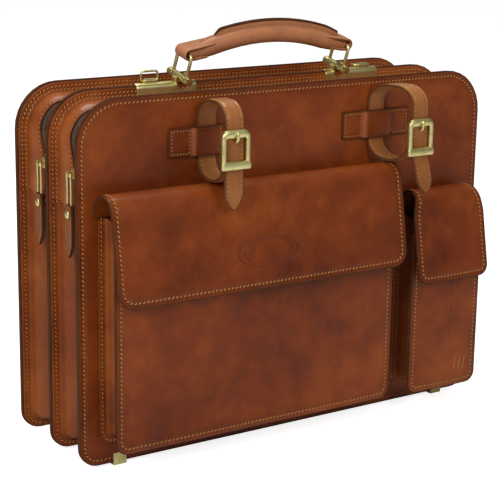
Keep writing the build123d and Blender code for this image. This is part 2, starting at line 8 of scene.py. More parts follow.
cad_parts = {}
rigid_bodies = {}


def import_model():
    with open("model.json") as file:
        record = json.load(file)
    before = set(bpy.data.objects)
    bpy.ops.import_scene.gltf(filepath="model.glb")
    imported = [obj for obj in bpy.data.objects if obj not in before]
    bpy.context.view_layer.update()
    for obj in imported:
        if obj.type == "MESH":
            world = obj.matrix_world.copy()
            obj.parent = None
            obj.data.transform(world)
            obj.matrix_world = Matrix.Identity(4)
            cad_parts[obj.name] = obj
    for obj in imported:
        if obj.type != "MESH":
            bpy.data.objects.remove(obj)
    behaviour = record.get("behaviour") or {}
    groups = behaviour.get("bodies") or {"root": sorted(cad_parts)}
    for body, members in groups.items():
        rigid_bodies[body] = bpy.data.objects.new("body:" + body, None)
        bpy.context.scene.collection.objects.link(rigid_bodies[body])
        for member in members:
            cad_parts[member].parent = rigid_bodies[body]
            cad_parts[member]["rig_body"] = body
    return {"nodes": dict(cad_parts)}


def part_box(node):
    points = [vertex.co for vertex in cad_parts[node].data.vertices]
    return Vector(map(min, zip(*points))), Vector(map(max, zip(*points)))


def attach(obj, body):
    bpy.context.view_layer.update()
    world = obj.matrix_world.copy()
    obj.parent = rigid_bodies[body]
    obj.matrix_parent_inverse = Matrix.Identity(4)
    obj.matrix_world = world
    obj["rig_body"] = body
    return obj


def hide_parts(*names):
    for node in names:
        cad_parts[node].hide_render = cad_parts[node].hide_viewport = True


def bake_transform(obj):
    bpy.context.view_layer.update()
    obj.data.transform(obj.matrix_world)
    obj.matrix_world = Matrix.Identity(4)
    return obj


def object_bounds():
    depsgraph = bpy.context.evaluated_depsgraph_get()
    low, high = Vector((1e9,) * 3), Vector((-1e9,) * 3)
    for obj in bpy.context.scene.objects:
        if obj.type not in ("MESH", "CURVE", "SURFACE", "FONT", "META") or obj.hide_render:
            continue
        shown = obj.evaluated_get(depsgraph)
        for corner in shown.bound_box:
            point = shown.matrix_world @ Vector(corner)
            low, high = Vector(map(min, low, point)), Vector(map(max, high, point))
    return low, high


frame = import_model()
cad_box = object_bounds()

# Sheet of paper-white floor, soft lamps and the camera. Lengths in this file are in
# millimetres from the front board's face (y = 0) and its lower edge (z = 0), and at()
# turns them into the frame's metres.
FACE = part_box("front_board_leather")[0]


def at(x, y, z):
    return Vector((x / 1000, FACE[1] + y / 1000, FACE[2] + z / 1000))


def lamp(name, place, aim, size, power):
    data = bpy.data.lights.new(name, "AREA")
    data.shape = "DISK"
    data.size = size
    data.energy = power
    light = bpy.data.objects.new(name, data)
    light.location = place
    light.rotation_euler = (Vector(aim) - Vector(place)).to_track_quat("-Z", "Y").to_euler()
    bpy.context.scene.collection.objects.link(light)


lamp("window_left", (-1.7, -0.9, 1.3), (0, 0, 0.15), 0.8, 21)
lamp("window_front", (0.2, -2.3, 1.5), (0, 0, 0.15), 1.1, 15)
lamp("ceiling", (0.1, 0.4, 2.0), (0, 0, 0.1), 1.2, 18)

world = bpy.data.worlds.new("studio")
world.use_nodes = True
world.node_tree.nodes["Background"].inputs["Color"].default_value = (1, 1, 1, 1)
world.node_tree.nodes["Background"].inputs["Strength"].default_value = 0.16
bpy.context.scene.world = world

lens = bpy.data.cameras.new("camera")
lens.lens = 111.14
lens.sensor_width = 36
lens.clip_end = 20
camera = bpy.data.objects.new("camera", lens)
yaw, pitch, roll = math.radians(33.97), math.radians(14.20), math.radians(0.877)
turn = Matrix.Rotation(-yaw, 4, "Z") @ Matrix.Rotation(math.pi / 2 - pitch, 4, "X")
turn = turn @ Matrix.Rotation(roll, 4, "Z")
camera.matrix_world = Matrix.Translation(at(-744.1, -1040.8, 480.0)) @ turn
bpy.context.scene.collection.objects.link(camera)
bpy.context.scene.camera = camera
bpy.context.scene.view_settings.view_transform = "Standard"

bpy.ops.mesh.primitive_plane_add(size=60, location=(0, 0, cad_box[0][2]))
floor = bpy.context.object
floor.name = "floor"
paper = bpy.data.materials.new("paper")
paper.use_nodes = True
paper.node_tree.nodes["Principled BSDF"].inputs["Base Color"].default_value = (0.9, 0.9, 0.9, 1)
paper.node_tree.nodes["Principled BSDF"].inputs["Roughness"].default_value = 0.9
sight = paper.node_tree.nodes.new("ShaderNodeLightPath").outputs["Is Camera Ray"]
paper.node_tree.links.new(sight, paper.node_tree.nodes["Principled BSDF"].inputs["Emission Strength"])
paper.node_tree.nodes["Principled BSDF"].inputs["Emission Color"].default_value = (0.82, 0.82, 0.82, 1)
floor.data.materials.append(paper)


# Boards: two vegetable-tanned leathers sewn face to face, their edges dyed dark and rubbed
# to a shine. A groove is cut inside the edge and a thick tan thread lies in it.
class Socket:
    """A shader output that Python arithmetic can be written on."""

    def __init__(self, tree, output):
        self.tree = tree
        self.output = output

    def math(self, operation, first, second):
        return node(self.tree, "ShaderNodeMath", {"operation": operation}, {0: first, 1: second})

    def __add__(self, other):
        return self.math("ADD", self, other)

    def __radd__(self, other):
        return self.math("ADD", other, self)

    def __sub__(self, other):
        return self.math("SUBTRACT", self, other)

    def __rsub__(self, other):
        return self.math("SUBTRACT", other, self)

    def __mul__(self, other):
        return self.math("MULTIPLY", self, other)

    def __rmul__(self, other):
        return self.math("MULTIPLY", other, self)

    def __pow__(self, other):
        return self.math("POWER", self, other)


def node(tree, kind, settings=None, values=None, output=0):
    """Adds a node: its settings first, then the values or links of its sockets."""
    made = tree.nodes.new(kind)
    for name, value in (settings or {}).items():
        if name == "stops":
            while len(made.color_ramp.elements) < len(value):
                made.color_ramp.elements.new(0.5)
            for stop, (place, colour) in zip(made.color_ramp.elements, value):
                stop.position = place
                stop.color = (*colour, 1)
        else:
            setattr(made, name, value)
    for key, value in (values or {}).items():
        if isinstance(value, Socket):
            tree.links.new(value.output, made.inputs[key])
        else:
            made.inputs[key].default_value = value
    return Socket(tree, made.outputs[output])


def fresh_material(name, fixed):
    """A material with its Principled shader, whose fixed values are set on the shader."""
    material = bpy.data.materials.new(name)
    material.use_nodes = True
    shader = material.node_tree.nodes["Principled BSDF"]
    for socket, value in fixed.items():
        shader.inputs[socket].default_value = value
    return material, material.node_tree, shader


def mixed(tree, factor, first, second, blend="MIX"):
    """Mixes two colours."""
    values = {"Factor": factor, 6: first, 7: second}
    return node(tree, "ShaderNodeMix", {"data_type": "RGBA", "blend_type": blend}, values, 2)


def noise(tree, place, scale, detail, roughness=0.5):
    values = {"Vector": place, "Scale": scale, "Detail": detail, "Roughness": roughness}
    return node(tree, "ShaderNodeTexNoise", {}, values, "Fac")


def ramp(tree, value, stops):
    return node(tree, "ShaderNodeValToRGB", {"stops": stops}, {"Fac": value}, "Color")


def bumped(tree, shader, height, strength, distance=0.0003):
    """Feeds a height to the shader's normal through a bump."""
    values = {"Height": height, "Strength": strength, "Distance": distance}
    relief = node(tree, "ShaderNodeBump", {}, values, "Normal")
    tree.links.new(relief.output, shader.inputs["Normal"])


def leather(name, deep, middle, pale, shine=0.34, grain=1.0, press=None):
    """Glazed hide: cloudy dye, fine pores, darker near edges as edge tone and darker in creases and
    undersides as painted shade, paler where bent with a painted highlight.
    Press is an oval stamp pushed into it: its centre and half sizes, in x and z."""
    fixed = {"Coat Roughness": 0.2, "Specular IOR Level": 0.2, "Coat IOR": 1.4}
    material, tree, shader = fresh_material(name, fixed)
    place = node(tree, "ShaderNodeTexCoord", output="Object")
    cloud = noise(tree, place, 9, 4, 0.5)
    smudge = noise(tree, place, 46, 5, 0.6)
    fine = noise(tree, place, 420, 3, 0.6)
    blend = cloud * 0.62 + smudge * 0.38
    dye = ramp(tree, blend, [(0.3, deep), (0.5, middle), (0.7, pale)])
    rim = node(tree, "ShaderNodeAttribute", {"attribute_name": "rim"}, output="Fac")
    stretch = node(tree, "ShaderNodeAttribute", {"attribute_name": "stretch"}, output="Fac")
    dark_tone_and_shade = tuple(0.52 * c for c in deep) + (1,)
    tan = tuple(min(1, 1.5 * c + 0.02) for c in pale) + (1,)
    # The rim attribute darkens: edge tone near cut edges, and painted shade where pieces set it in creases
    # and undersides. stretch mixes in tan: paler bent leather with a painted highlight.
    dye = mixed(tree, rim * 0.45, dye, dark_tone_and_shade)
    dye = mixed(tree, stretch * (0.1 + smudge * 0.6), dye, tan)
    dye = mixed(tree, fine * 0.16, dye, dark_tone_and_shade)
    tree.links.new(dye.output, shader.inputs["Base Color"])
    rough = shine + smudge * 0.16 + fine * 0.06 - stretch * 0.06
    tree.links.new(rough.output, shader.inputs["Roughness"])
    coat = 0.22 - smudge * 0.2 + stretch * 0.6
    tree.links.new(coat.output, shader.inputs["Coat Weight"])
    cells = node(tree, "ShaderNodeTexVoronoi", {}, {"Vector": place, "Scale": 780.0}, "Distance")
    height = cells * 0.5 + fine * 0.7 + smudge * 1.6
    if press:
        x, z, half_x, half_z = press
        centre = at(x, 0, z)
        across = node(tree, "ShaderNodeMapping", {"vector_type": "POINT"}, {
            "Vector": place, "Location": (-centre.x / half_x * 1000, 0, -centre.z / half_z * 1000),
            "Scale": (1000 / half_x, 0, 1000 / half_z)})
        reach = node(tree, "ShaderNodeVectorMath", {"operation": "LENGTH"}, {0: across}, "Value")
        for radius, width, depth in ((1.0, 0.12, 5.0), (0.82, 0.08, 3.0)):
            off = node(tree, "ShaderNodeMath", {"operation": "ABSOLUTE"}, {0: reach - radius})
            line = {"Value": off, "From Min": 0.0, "From Max": width, "To Min": 1.0, "To Max": 0.0}
            line = node(tree, "ShaderNodeMapRange", {"interpolation_type": "SMOOTHSTEP"}, line)
            height = height - line * depth
            dye = mixed(tree, line * 0.22, dye, dark_tone_and_shade)
        tree.links.new(dye.output, shader.inputs["Base Color"])
    bumped(tree, shader, height, 0.32 * grain, 0.0005)
    return material


def edge_paint(name, base, wear_and_highlight):
    """A leather's cut edge, dyed, waxed and rubbed."""
    material, tree, shader = fresh_material(name, {"Specular IOR Level": 0.06})
    place = node(tree, "ShaderNodeTexCoord", output="Object")
    patch = noise(tree, place, 70, 4)
    dye = mixed(tree, patch, (*base, 1), (*wear_and_highlight, 1))
    tree.links.new(dye.output, shader.inputs["Base Color"])
    rough = patch * 0.3 + 0.4
    tree.links.new(rough.output, shader.inputs["Roughness"])
    streak = noise(tree, place, 500, 2)
    bumped(tree, shader, streak, 0.2, 0.0004)
    return material


COGNAC = ((0.085, 0.013, 0.002), (0.225, 0.040, 0.004), (0.37, 0.082, 0.009))
hide = leather("cognac_hide", *COGNAC)
edge = edge_paint("rubbed_edge", (0.04, 0.012, 0.004), (0.13, 0.045, 0.016))


def rounded(u0, u1, v0, v1, corners, inset, along):
    """Points round a rectangle moved inwards by inset, from its low-left corner, leftwards up."""
    left, right, low, high = u0 + inset, u1 - inset, v0 + inset, v1 - inset
    radii = [max(r - inset, 0.02) for r in corners]
    signs = ((-1, -1), (1, -1), (1, 1), (-1, 1))
    points = []
    for k, (radius, (su, sv)) in enumerate(zip(radii, signs)):
        cu = (left if su < 0 else right) - su * radius
        cv = (low if sv < 0 else high) - sv * radius
        for step in range(9):
            angle = math.pi + (k + step / 8) * math.pi / 2
            points.append((cu + radius * math.cos(angle), cv + radius * math.sin(angle)))
        nu, nv = signs[(k + 1) % 4]
        reach = radii[(k + 1) % 4]
        end = ((left if nu < 0 else right) - nu * reach, (low if nv < 0 else high) - nv * reach)
        if k % 2 == 0:
            end = (end[0], low if k == 0 else high)
        else:
            end = (right if k == 1 else left, end[1])
        start = points[-1]
        for step in range(1, along[k % 2] + 1):
            t = step / (along[k % 2] + 1)
            points.append((start[0] + (end[0] - start[0]) * t, start[1] + (end[1] - start[1]) * t))
    return points


def solid_mesh(name, verts, faces, body, materials, slots=None, fields=None, sharp=40):
    """Makes a closed, outward-facing piece that rides on a body."""
    mesh = bpy.data.meshes.new(name)
    mesh.from_pydata([at(*v) for v in verts], [], faces)
    if slots:
        mesh.polygons.foreach_set("material_index", slots)
    for field, values in (fields or {}).items():
        mesh.attributes.new(field, "FLOAT", "POINT").data.foreach_set("value", values)
    return finished(mesh, body, materials, sharp)


def finished(mesh, body, materials, sharp=40):
    """Merges a mesh, turns its faces outwards and makes it a piece that rides on a body."""
    for material in materials:
        mesh.materials.append(material)
    work = bmesh.new()
    work.from_mesh(mesh)
    bmesh.ops.remove_doubles(work, verts=work.verts, dist=1e-6)
    bmesh.ops.recalc_face_normals(work, faces=work.faces)
    work.to_mesh(mesh)
    work.free()
    mesh.shade_smooth()
    mesh.set_sharp_from_angle(angle=math.radians(sharp))
    piece = bpy.data.objects.new(mesh.name, mesh)
    bpy.context.scene.collection.objects.link(piece)
    if body:
        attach(piece, body)
    return piece


def panel(name, outline, surface, thickness, groove, rings, body, materials, stretch=None,
          seams=(), cuts=()):
    """A flat or bent leather with rounded edges: outline(inset) gives its rim in (u, v), and
    surface(u, v) gives the outer skin's point and normal there. Seams part two leathers, and
    cuts are the u and v values where it bends: (0, u) or (1, v)."""
    skin = [(0.9, 0.0), (0.35, 0.1), (0.06, 0.35)]
    rows = [(r, -thickness, 0) for r in reversed(rings)]
    rows += [(i, -thickness + d, 1) for i, d in skin]
    for y in seams:
        rows += [(0.0, -y - 0.35, 1), (0.22, -y, 1), (0.0, -y + 0.35, 1)]
    rows += [(i, -d, 1) for i, d in reversed(skin)]
    if groove:
        rows += [(groove - 1.1, 0.0, 0), (groove - 0.4, -0.35, 0), (groove + 0.4, -0.35, 0)]
        rows += [(groove + 1.1, 0.0, 0)]
    rows += [(r, 0.0, 0) for r in rings]
    verts, rim = [], []
    count = len(outline(0.0))
    for inset, height, _ in rows:
        for u, v in outline(inset):
            verts.append((u, v, height))
            rim.append(max(0.0, 1 - inset / 13) ** 1.5)
    faces, slots = [], []
    for row in range(len(rows) - 1):
        for k in range(count):
            a, b = row * count + k, row * count + (k + 1) % count
            faces.append((a, b, b + count, a + count))
            slots.append(1 if rows[row][2] and rows[row + 1][2] else 0)
    faces.append(tuple(range(count)))
    last = (len(rows) - 1) * count
    faces.append(tuple(last + k for k in range(count)))
    slots += [0, 0]
    flat = bpy.data.meshes.new(name)
    flat.from_pydata(verts, [], faces)
    flat.polygons.foreach_set("material_index", slots)
    flat.attributes.new("rim", "FLOAT", "POINT").data.foreach_set("value", rim)
    work = bmesh.new()
    work.from_mesh(flat)
    for axis, place in cuts:
        across = Vector((1, 0, 0)) if axis == 0 else Vector((0, 1, 0))
        everything = work.verts[:] + work.edges[:] + work.faces[:]
        bmesh.ops.bisect_plane(work, geom=everything, plane_co=across * place, plane_no=across)
    work.to_mesh(flat)
    work.free()
    bent = []
    for vert in flat.vertices:
        u, v, height = vert.co
        point, normal = surface(u, v)
        bent.append(stretch(u, v) if stretch else 0.0)
        vert.co = at(*(point + normal * height))
    flat.attributes.new("stretch", "FLOAT", "POINT").data.foreach_set("value", bent)
    return finished(flat, body, materials)


def thread_material(name, pale, deep):
    """Waxed linen thread: tan, twisted, soiled in the hollows."""
    material, tree, shader = fresh_material(name, {"Specular IOR Level": 0.12})
    place = node(tree, "ShaderNodeTexCoord", output="Object")
    soil = noise(tree, place, 90, 3)
    dye = mixed(tree, soil, (*pale, 1), (*deep, 1))
    tree.links.new(dye.output, shader.inputs["Base Color"])
    rough = soil * 0.3 + 0.5
    tree.links.new(rough.output, shader.inputs["Roughness"])
    twist = noise(tree, place, 1500, 2)
    bumped(tree, shader, twist, 0.5)
    return material


thread = thread_material("tan_thread", (0.66, 0.33, 0.10), (0.44, 0.18, 0.045))
# A flat dark disc under each stitch: painted shadow of the stitch in its needle hole, coloured with the edge
# paint recipe.
stitch_shadow = edge_paint("stitch_shadow", (0.02, 0.008, 0.004), (0.035, 0.014, 0.007))


def sewing_tree():
    """Geometry nodes that lay slanted stitches along a path, each over a flat dark disc: painted shadow in
    its needle hole.
    """
    tree = bpy.data.node_groups.new("sewing", "GeometryNodeTree")
    face = tree.interface
    face.new_socket("Path", in_out="INPUT", socket_type="NodeSocketGeometry")
    for name in ("Pitch", "Length", "Thickness", "Slant"):
        face.new_socket(name, in_out="INPUT", socket_type="NodeSocketFloat")
    for name in ("Thread", "Shadow"):
        face.new_socket(name, in_out="INPUT", socket_type="NodeSocketMaterial")
    face.new_socket("Stitches", in_out="OUTPUT", socket_type="NodeSocketGeometry")
    source = tree.nodes.new("NodeGroupInput")
    result = tree.nodes.new("NodeGroupOutput")

    def given(name):
        return Socket(tree, source.outputs[name])

    def bead(length, width, height, material, turn_by):
        sphere = node(tree, "GeometryNodeMeshUVSphere", {}, {"Segments": 6, "Rings": 5, "Radius": 0.5})
        size = node(tree, "ShaderNodeCombineXYZ", {}, {"X": length, "Y": width, "Z": height})
        scaled = node(tree, "GeometryNodeTransform", {}, {"Geometry": sphere, "Scale": size})
        smooth = node(tree, "GeometryNodeSetShadeSmooth", {}, {"Geometry": scaled})
        turned = node(tree, "FunctionNodeRotateRotation", {"rotation_space": "LOCAL"},
                      {"Rotation": facing, "Rotate By": turn_by})
        laid = node(tree, "GeometryNodeInstanceOnPoints", {},
                    {"Points": dots, "Instance": smooth, "Rotation": turned})
        real = node(tree, "GeometryNodeRealizeInstances", {}, {"Geometry": laid})
        return node(tree, "GeometryNodeSetMaterial", {}, {"Geometry": real, "Material": material})

    curve = node(tree, "GeometryNodeMeshToCurve", {}, {"Mesh": given("Path")})
    dots = node(tree, "GeometryNodeResampleCurve", {"mode": "LENGTH"},
                {"Curve": curve, "Length": given("Pitch")})
    along = node(tree, "GeometryNodeInputTangent")
    up = node(tree, "GeometryNodeInputNamedAttribute", {"data_type": "FLOAT_VECTOR"}, {"Name": "up"})
    heading = node(tree, "FunctionNodeAlignRotationToVector", {"axis": "X"}, {"Vector": along})
    facing = node(tree, "FunctionNodeAlignRotationToVector", {"axis": "Z", "pivot_axis": "X"},
                  {"Rotation": heading, "Vector": up})
    spin = node(tree, "ShaderNodeCombineXYZ", {}, {"X": 0.0, "Y": 0.0, "Z": given("Slant")})
    slanted = node(tree, "FunctionNodeEulerToRotation", {}, {"Euler": spin})
    flat = node(tree, "FunctionNodeEulerToRotation", {}, {"Euler": (0.0, 0.0, 0.0)})
    wide = given("Thickness")
    stitch = bead(given("Length"), wide, wide * 0.8, given("Thread"), slanted)
    # Flat dark disc centred under the stitch: painted shadow.
    shadow_disc = bead(wide * 1.3, wide * 1.5, wide * 0.25, given("Shadow"), flat)
    placed_shadow = node(tree, "GeometryNodeTransform", {}, {"Geometry": shadow_disc})
    joined = tree.nodes.new("GeometryNodeJoinGeometry")
    tree.links.new(placed_shadow.output, joined.inputs[0])
    tree.links.new(stitch.output, joined.inputs[0])
    tree.links.new(joined.outputs[0], result.inputs[0])
    return tree


sewing = sewing_tree()


def sew(name, path, body, closed=False, pitch=3.7, length=2.9, thickness=1.1, slant=36.0):
    """Runs thread along path, a list of (point, normal), and turns it into a plain mesh."""
    mesh = bpy.data.meshes.new(name)
    edges = [(k, k + 1) for k in range(len(path) - 1)]
    if closed:
        edges.append((len(path) - 1, 0))
    mesh.from_pydata([at(*(p + n * 0.05)) for p, n in path], edges, [])
    up = mesh.attributes.new("up", "FLOAT_VECTOR", "POINT")
    up.data.foreach_set("vector", [c for _, n in path for c in n])
    carrier = bpy.data.objects.new(name, mesh)
    bpy.context.scene.collection.objects.link(carrier)
    modifier = carrier.modifiers.new("sewing", "NODES")
    modifier.node_group = sewing
    given = {"Pitch": pitch / 1000, "Length": length / 1000, "Thickness": thickness / 1000}
    given.update({"Slant": math.radians(slant), "Thread": thread, "Shadow": stitch_shadow})
    for item in sewing.interface.items_tree:
        if item.name in given:
            modifier[item.identifier] = given[item.name]
    return made_plain(carrier, body)


def made_plain(carrier, body):
    """Replaces an object by its evaluated mesh, with no modifiers left."""
    seen = bpy.context.evaluated_depsgraph_get()
    mesh = bpy.data.meshes.new_from_object(carrier.evaluated_get(seen))
    mesh.name = carrier.name
    carrier.modifiers.clear()
    carrier.data = mesh
    if body:
        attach(carrier, body)
    return carrier


HALF_LENGTH = 205.0
HEIGHT = 300.0
BOARD = 4.0
CENTRE_Y = 52.0
DEPTH = 109.0
TOP_RADIUS = 38.0
LOW_RADIUS = 17.0
SEWN_AT = 4.6


def board_rim(inset):
    corners = (LOW_RADIUS, LOW_RADIUS, TOP_RADIUS, TOP_RADIUS)
    return rounded(-HALF_LENGTH, HALF_LENGTH, 0, HEIGHT, corners, inset, (24, 18))


def front_face(y):
    """An upright skin facing the front."""
    return lambda u, v: (Vector((u, y, v)), Vector((0, -1, 0)))


def back_face(y):
    """An upright skin facing the back."""
    return lambda u, v: (Vector((u, y, v)), Vector((0, 1, 0)))


def seam_on(rim, surface, inset):
    """A sewing path along a rim moved inwards."""
    return [surface(u, v) for u, v in rim(inset)]


board_rings = (9.0, 14.0, 24.0, 50.0, 90.0, 140.0)
boards = {
    "front_board": (0.0, "front_panel", ("front_board_leather", "front_board_lining")),
    "centre_board": (CENTRE_Y - 2, "divider", ("centre_board_front", "centre_board_rear")),
    "rear_board": (DEPTH - BOARD, "rear_panel", ("rear_board_leather", "rear_board_lining")),
}
for name, (y, body, nodes) in boards.items():
    board = panel(name, board_rim, front_face(y), BOARD, SEWN_AT, board_rings, body,
                  (hide, edge), seams=(2.2,))
    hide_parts(*nodes)
sew("front_board_thread", seam_on(board_rim, front_face(-0.15), SEWN_AT), "front_panel", True)
sew("rear_board_thread", seam_on(board_rim, back_face(DEPTH), SEWN_AT), "rear_panel", True)


# Gussets: the lower wall of each compartment is a strip of softer leather. It is folded to a
# V along its middle and turned out flat against the boards, where it is sewn through.
soft_hide = leather("soft_hide", (0.12, 0.022, 0.003), (0.27, 0.056, 0.007), (0.42, 0.12, 0.018),
                    0.36, 1.9)
FLANGE = 1.6
WALL_INSET = 9.0


def rim_walk(start_z, end_z, radius, side_steps, long_steps, half_length=HALF_LENGTH):
    """Places on a rim with their outward directions, from the left side at start_z, round the
    end at end_z, to the right side."""
    turn = 1 if end_z > start_z else -1
    middle_x, middle_z = half_length - radius, end_z - turn * radius
    left = [(-half_length, start_z + (middle_z - start_z) * k / side_steps, -1.0, 0.0)
            for k in range(side_steps)]
    for k in range(13):
        c, s = math.cos(k * math.pi / 24), turn * math.sin(k * math.pi / 24)
        left.append((-middle_x - radius * c, middle_z + radius * s, -c, s))
    flat = [(-middle_x + 2 * middle_x * k / long_steps, end_z, 0.0, float(turn))
            for k in range(1, long_steps)]
    return left + flat + [(-x, z, -nx, nz) for x, z, nx, nz in reversed(left)]


def thickened(line, thickness):
    """Closes a cross-section line (inset, d) by its own copy, moved to the inner side."""
    back = []
    for k, (i, d) in enumerate(line):
        before, after = line[max(k - 1, 0)], line[min(k + 1, len(line) - 1)]
        di, dd = after[0] - before[0], after[1] - before[1]
        size = math.hypot(di, dd) or 1
        back.append((i + dd / size * thickness, d - di / size * thickness))
    return line + back[::-1]


def swept(name, places, section, body, materials, marks, sharp=50, shift_x=0.0):
    """Skins a thickened section along a walk. section(k) gives points (inset, y, lift), outer
    side first and then the inner side backwards; marks(k, m) gives the rim darkening (edge tone and painted
    shade) and stretch (a painted highlight)."""
    verts, rim, bent = [], [], []
    for k, (x, z, nx, nz) in enumerate(places):
        loop = section(k)
        half = len(loop) // 2
        for m, (inset, y, lift) in enumerate(loop):
            verts.append(Vector((x + shift_x - nx * inset, y, z - nz * inset + lift)))
            dark_tone_and_shade, light = marks(k, m if m < half else 2 * half - 1 - m)
            rim.append(dark_tone_and_shade)
            bent.append(light)
    size = 2 * half
    last = (len(places) - 1) * size
    faces = []
    for k in range(len(places) - 1):
        for m in range(size):
            a, b = k * size + m, k * size + (m + 1) % size
            faces.append((a, b, b + size, a + size))
    for end in (0, last):
        faces += [(end + m, end + m + 1, end + size - 2 - m, end + size - 1 - m) for m in range(half - 1)]
    return solid_mesh(name, verts, faces, body, materials, None, {"rim": rim, "stretch": bent}, sharp)


gusset_walk = rim_walk(214.0, 0.0, LOW_RADIUS, 26, 44)


def ripple(k, phase):
    """A slow unevenness along a soft piece."""
    return math.sin(0.61 * k + phase) * 0.6 + math.sin(0.23 * k + 2.1 * phase) * 0.4


def gusset_line(k, width, phase):
    """Section of a gusset, measured from the rear board of its compartment."""
    nz = gusset_walk[k][3]
    crease = width * (0.42 + 0.015 * ripple(k, phase))
    low = 0.5 + 0.5 * abs(nz)
    line = [(0.9, FLANGE - 0.5), (1.4, FLANGE), (3.0, FLANGE), (4.6, FLANGE - 0.25), (6.2, FLANGE),
            (7.6, FLANGE + 0.1), (8.6, FLANGE + 0.7), (9.2, FLANGE + 1.9)]
    depth = 15.6 - WALL_INSET
    for step in range(1, 6):
        t = step / 6
        line.append((9.2 + depth * t ** 1.5, FLANGE + 1.9 + (crease - FLANGE - 1.9) * t))
    line.append((WALL_INSET + depth + 0.3, crease))
    far = width - FLANGE - 1.9
    for step in range(1, 8):
        t = step / 8
        swell = 2.6 * low * math.sin(math.pi * t) ** 1.2 * (1 + 0.25 * ripple(k, phase + 2))
        line.append((WALL_INSET + depth * (1 - t) ** 1.4 - swell * 0.55, crease + (far - crease) * t))
    line += [(9.2, far), (8.6, far + 1.2), (7.6, far + 1.8), (6.2, far + 1.9), (4.6, far + 2.15)]
    line += [(3.0, far + 1.9), (1.4, far + 1.9), (0.9, far + 2.4)]
    return line


# Darker in the V crease and at the bends off the rear flange: painted shade. Darker at the flange edges:
# edge tone. Paler on the bulge: painted highlight.
def gusset_marks(k, m):
    dark_tone_and_shade = (0.9, 0.6, 0.25, 0.5, 0.15, 0.3, 0.5, 0.4, 0.2, 0.1, 0.2, 0.4, 0.6, 0.9)
    light = 0.5 if 15 <= m <= 19 else 0.12
    return (dark_tone_and_shade[m] if m < 14 else max(0, (m - 20) / 9)), light * (1 + 0.5 * ripple(k, 1.0))


compartments = {
    "front": (BOARD, CENTRE_Y - 2, "divider", "front_panel", 1),
    "rear": (CENTRE_Y + 2, DEPTH - BOARD, "divider", "rear_panel", -1),
}
for name, (y0, y1, fixed, moving, way) in compartments.items():
    width = y1 - y0
    gusset = swept(
        name + "_gusset", gusset_walk,
        lambda k: [(i, y1 - d, 0.0) for i, d in thickened(gusset_line(k, width, y0), 1.4)],
        None, (soft_hide,), gusset_marks)
    low, high = at(0, (y0 if way > 0 else y1), 0), at(0, (y1 if way > 0 else y0), 0)
    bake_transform(gusset)
    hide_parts(name + "_gusset_front", name + "_gusset_back")
    for y, face, body in ((y1 - FLANGE, -1, fixed if way > 0 else moving),
                          (y0 + FLANGE, 1, moving if way > 0 else fixed)):
        row = [(Vector((x - nx * 4.6, y + 0.2 * -face, z - nz * 4.6)), Vector((0, face, 0)))
               for x, z, nx, nz in gusset_walk[1:-1]]
        sew(f"{name}_gusset_thread_{body}", row, body)


# Zip bands: each upper wall is two bands of the same leather, which end at the sides in one
# sewn point over the gusset. A zip on dark tape runs up and over between the two bands.
band_walk = rim_walk(212.0, HEIGHT, TOP_RADIUS, 14, 44)
SLIDER_Z = 238.0


def band_reach(z, width, half):
    """How far a band reaches from its board: to the middle below the slider, less above."""
    t = min(1, max(0, (z - SLIDER_Z) / 30))
    return width / 2 - 0.1 - half * t * t * (3 - 2 * t)


def band_section(k, width, half):
    """Section (inset, d) of a band from its flange to the zip."""
    reach = band_reach(band_walk[k][1], width, half)
    line = [(0.9, FLANGE - 0.2), (1.4, FLANGE + 0.3), (2.9, FLANGE + 0.3), (4.2, FLANGE + 0.1),
            (5.6, FLANGE + 0.3), (7.4, FLANGE + 0.3), (8.4, FLANGE + 0.9), (8.9, FLANGE + 2.1)]
    for step in range(1, 9):
        t = step / 8
        rise = 3.2 * t ** 1.3 - 1.1 * math.sin(math.pi * t)
        line.append((8.9 + rise, FLANGE + 2.1 + (reach - FLANGE - 2.1) * t))
    return line


def band_drop(d, width, z):
    """How much lower the band's sewn end lies at distance d from its board."""
    t = max(0, (d - 9.0) / (width / 2 - 9.0))
    share = max(0.0, (SLIDER_Z - z) / (SLIDER_Z - 212.0))
    return 10.5 * min(1, t) ** 1.2 * share if z < SLIDER_Z else 0.0


def zip_band(name, width, place, half):
    """One band as a sheet with thickness; place turns a distance from the board into y."""
    def section(k):
        z = band_walk[k][1]
        loop = thickened(band_section(k, width, half), 1.5)
        return [(i, place(d), -band_drop(d, width, z)) for i, d in loop]

    # Paler over the band's arched face: painted highlight. Darker at the flange and zip edges (edge tone)
    # and at the flange bend (painted shade), darkest over its sewn ends.
    def marks(k, m):
        band_face_highlight = 0.5 if 8 <= m <= 13 else 0
        dark_tone_and_shade = 0.8 if m in (0, 15) else 0.25 * (m in (1, 6, 7, 14))
        if k in (0, len(band_walk) - 1):
            dark_tone_and_shade = 1.6
        return dark_tone_and_shade, 0.15 + band_face_highlight * (1 + 0.5 * ripple(k, 0.5))

    return swept(name, band_walk, section, None, (soft_hide,), marks)


def woven_tape(name, base):
    """Dark cotton tape with a fine herringbone."""
    material, tree, shader = fresh_material(name, {"Sheen Weight": 0.25, "Specular IOR Level": 0.2})
    place = node(tree, "ShaderNodeTexCoord", output="Object")
    weave = node(tree, "ShaderNodeTexWave", {"wave_type": "BANDS", "bands_direction": "DIAGONAL"},
                 {"Vector": place, "Scale": 420.0, "Distortion": 1.5}, "Fac")
    wear_and_highlight = noise(tree, place, 60, 3)
    dye = mixed(tree, wear_and_highlight * 0.6 + weave * 0.25, (*base, 1), (*[2.6 * c for c in base], 1))
    tree.links.new(dye.output, shader.inputs["Base Color"])
    rough = wear_and_highlight * 0.2 + 0.7
    tree.links.new(rough.output, shader.inputs["Roughness"])
    bumped(tree, shader, weave, 0.5)
    return material


tape_cloth = woven_tape("zip_tape", (0.03, 0.018, 0.012))


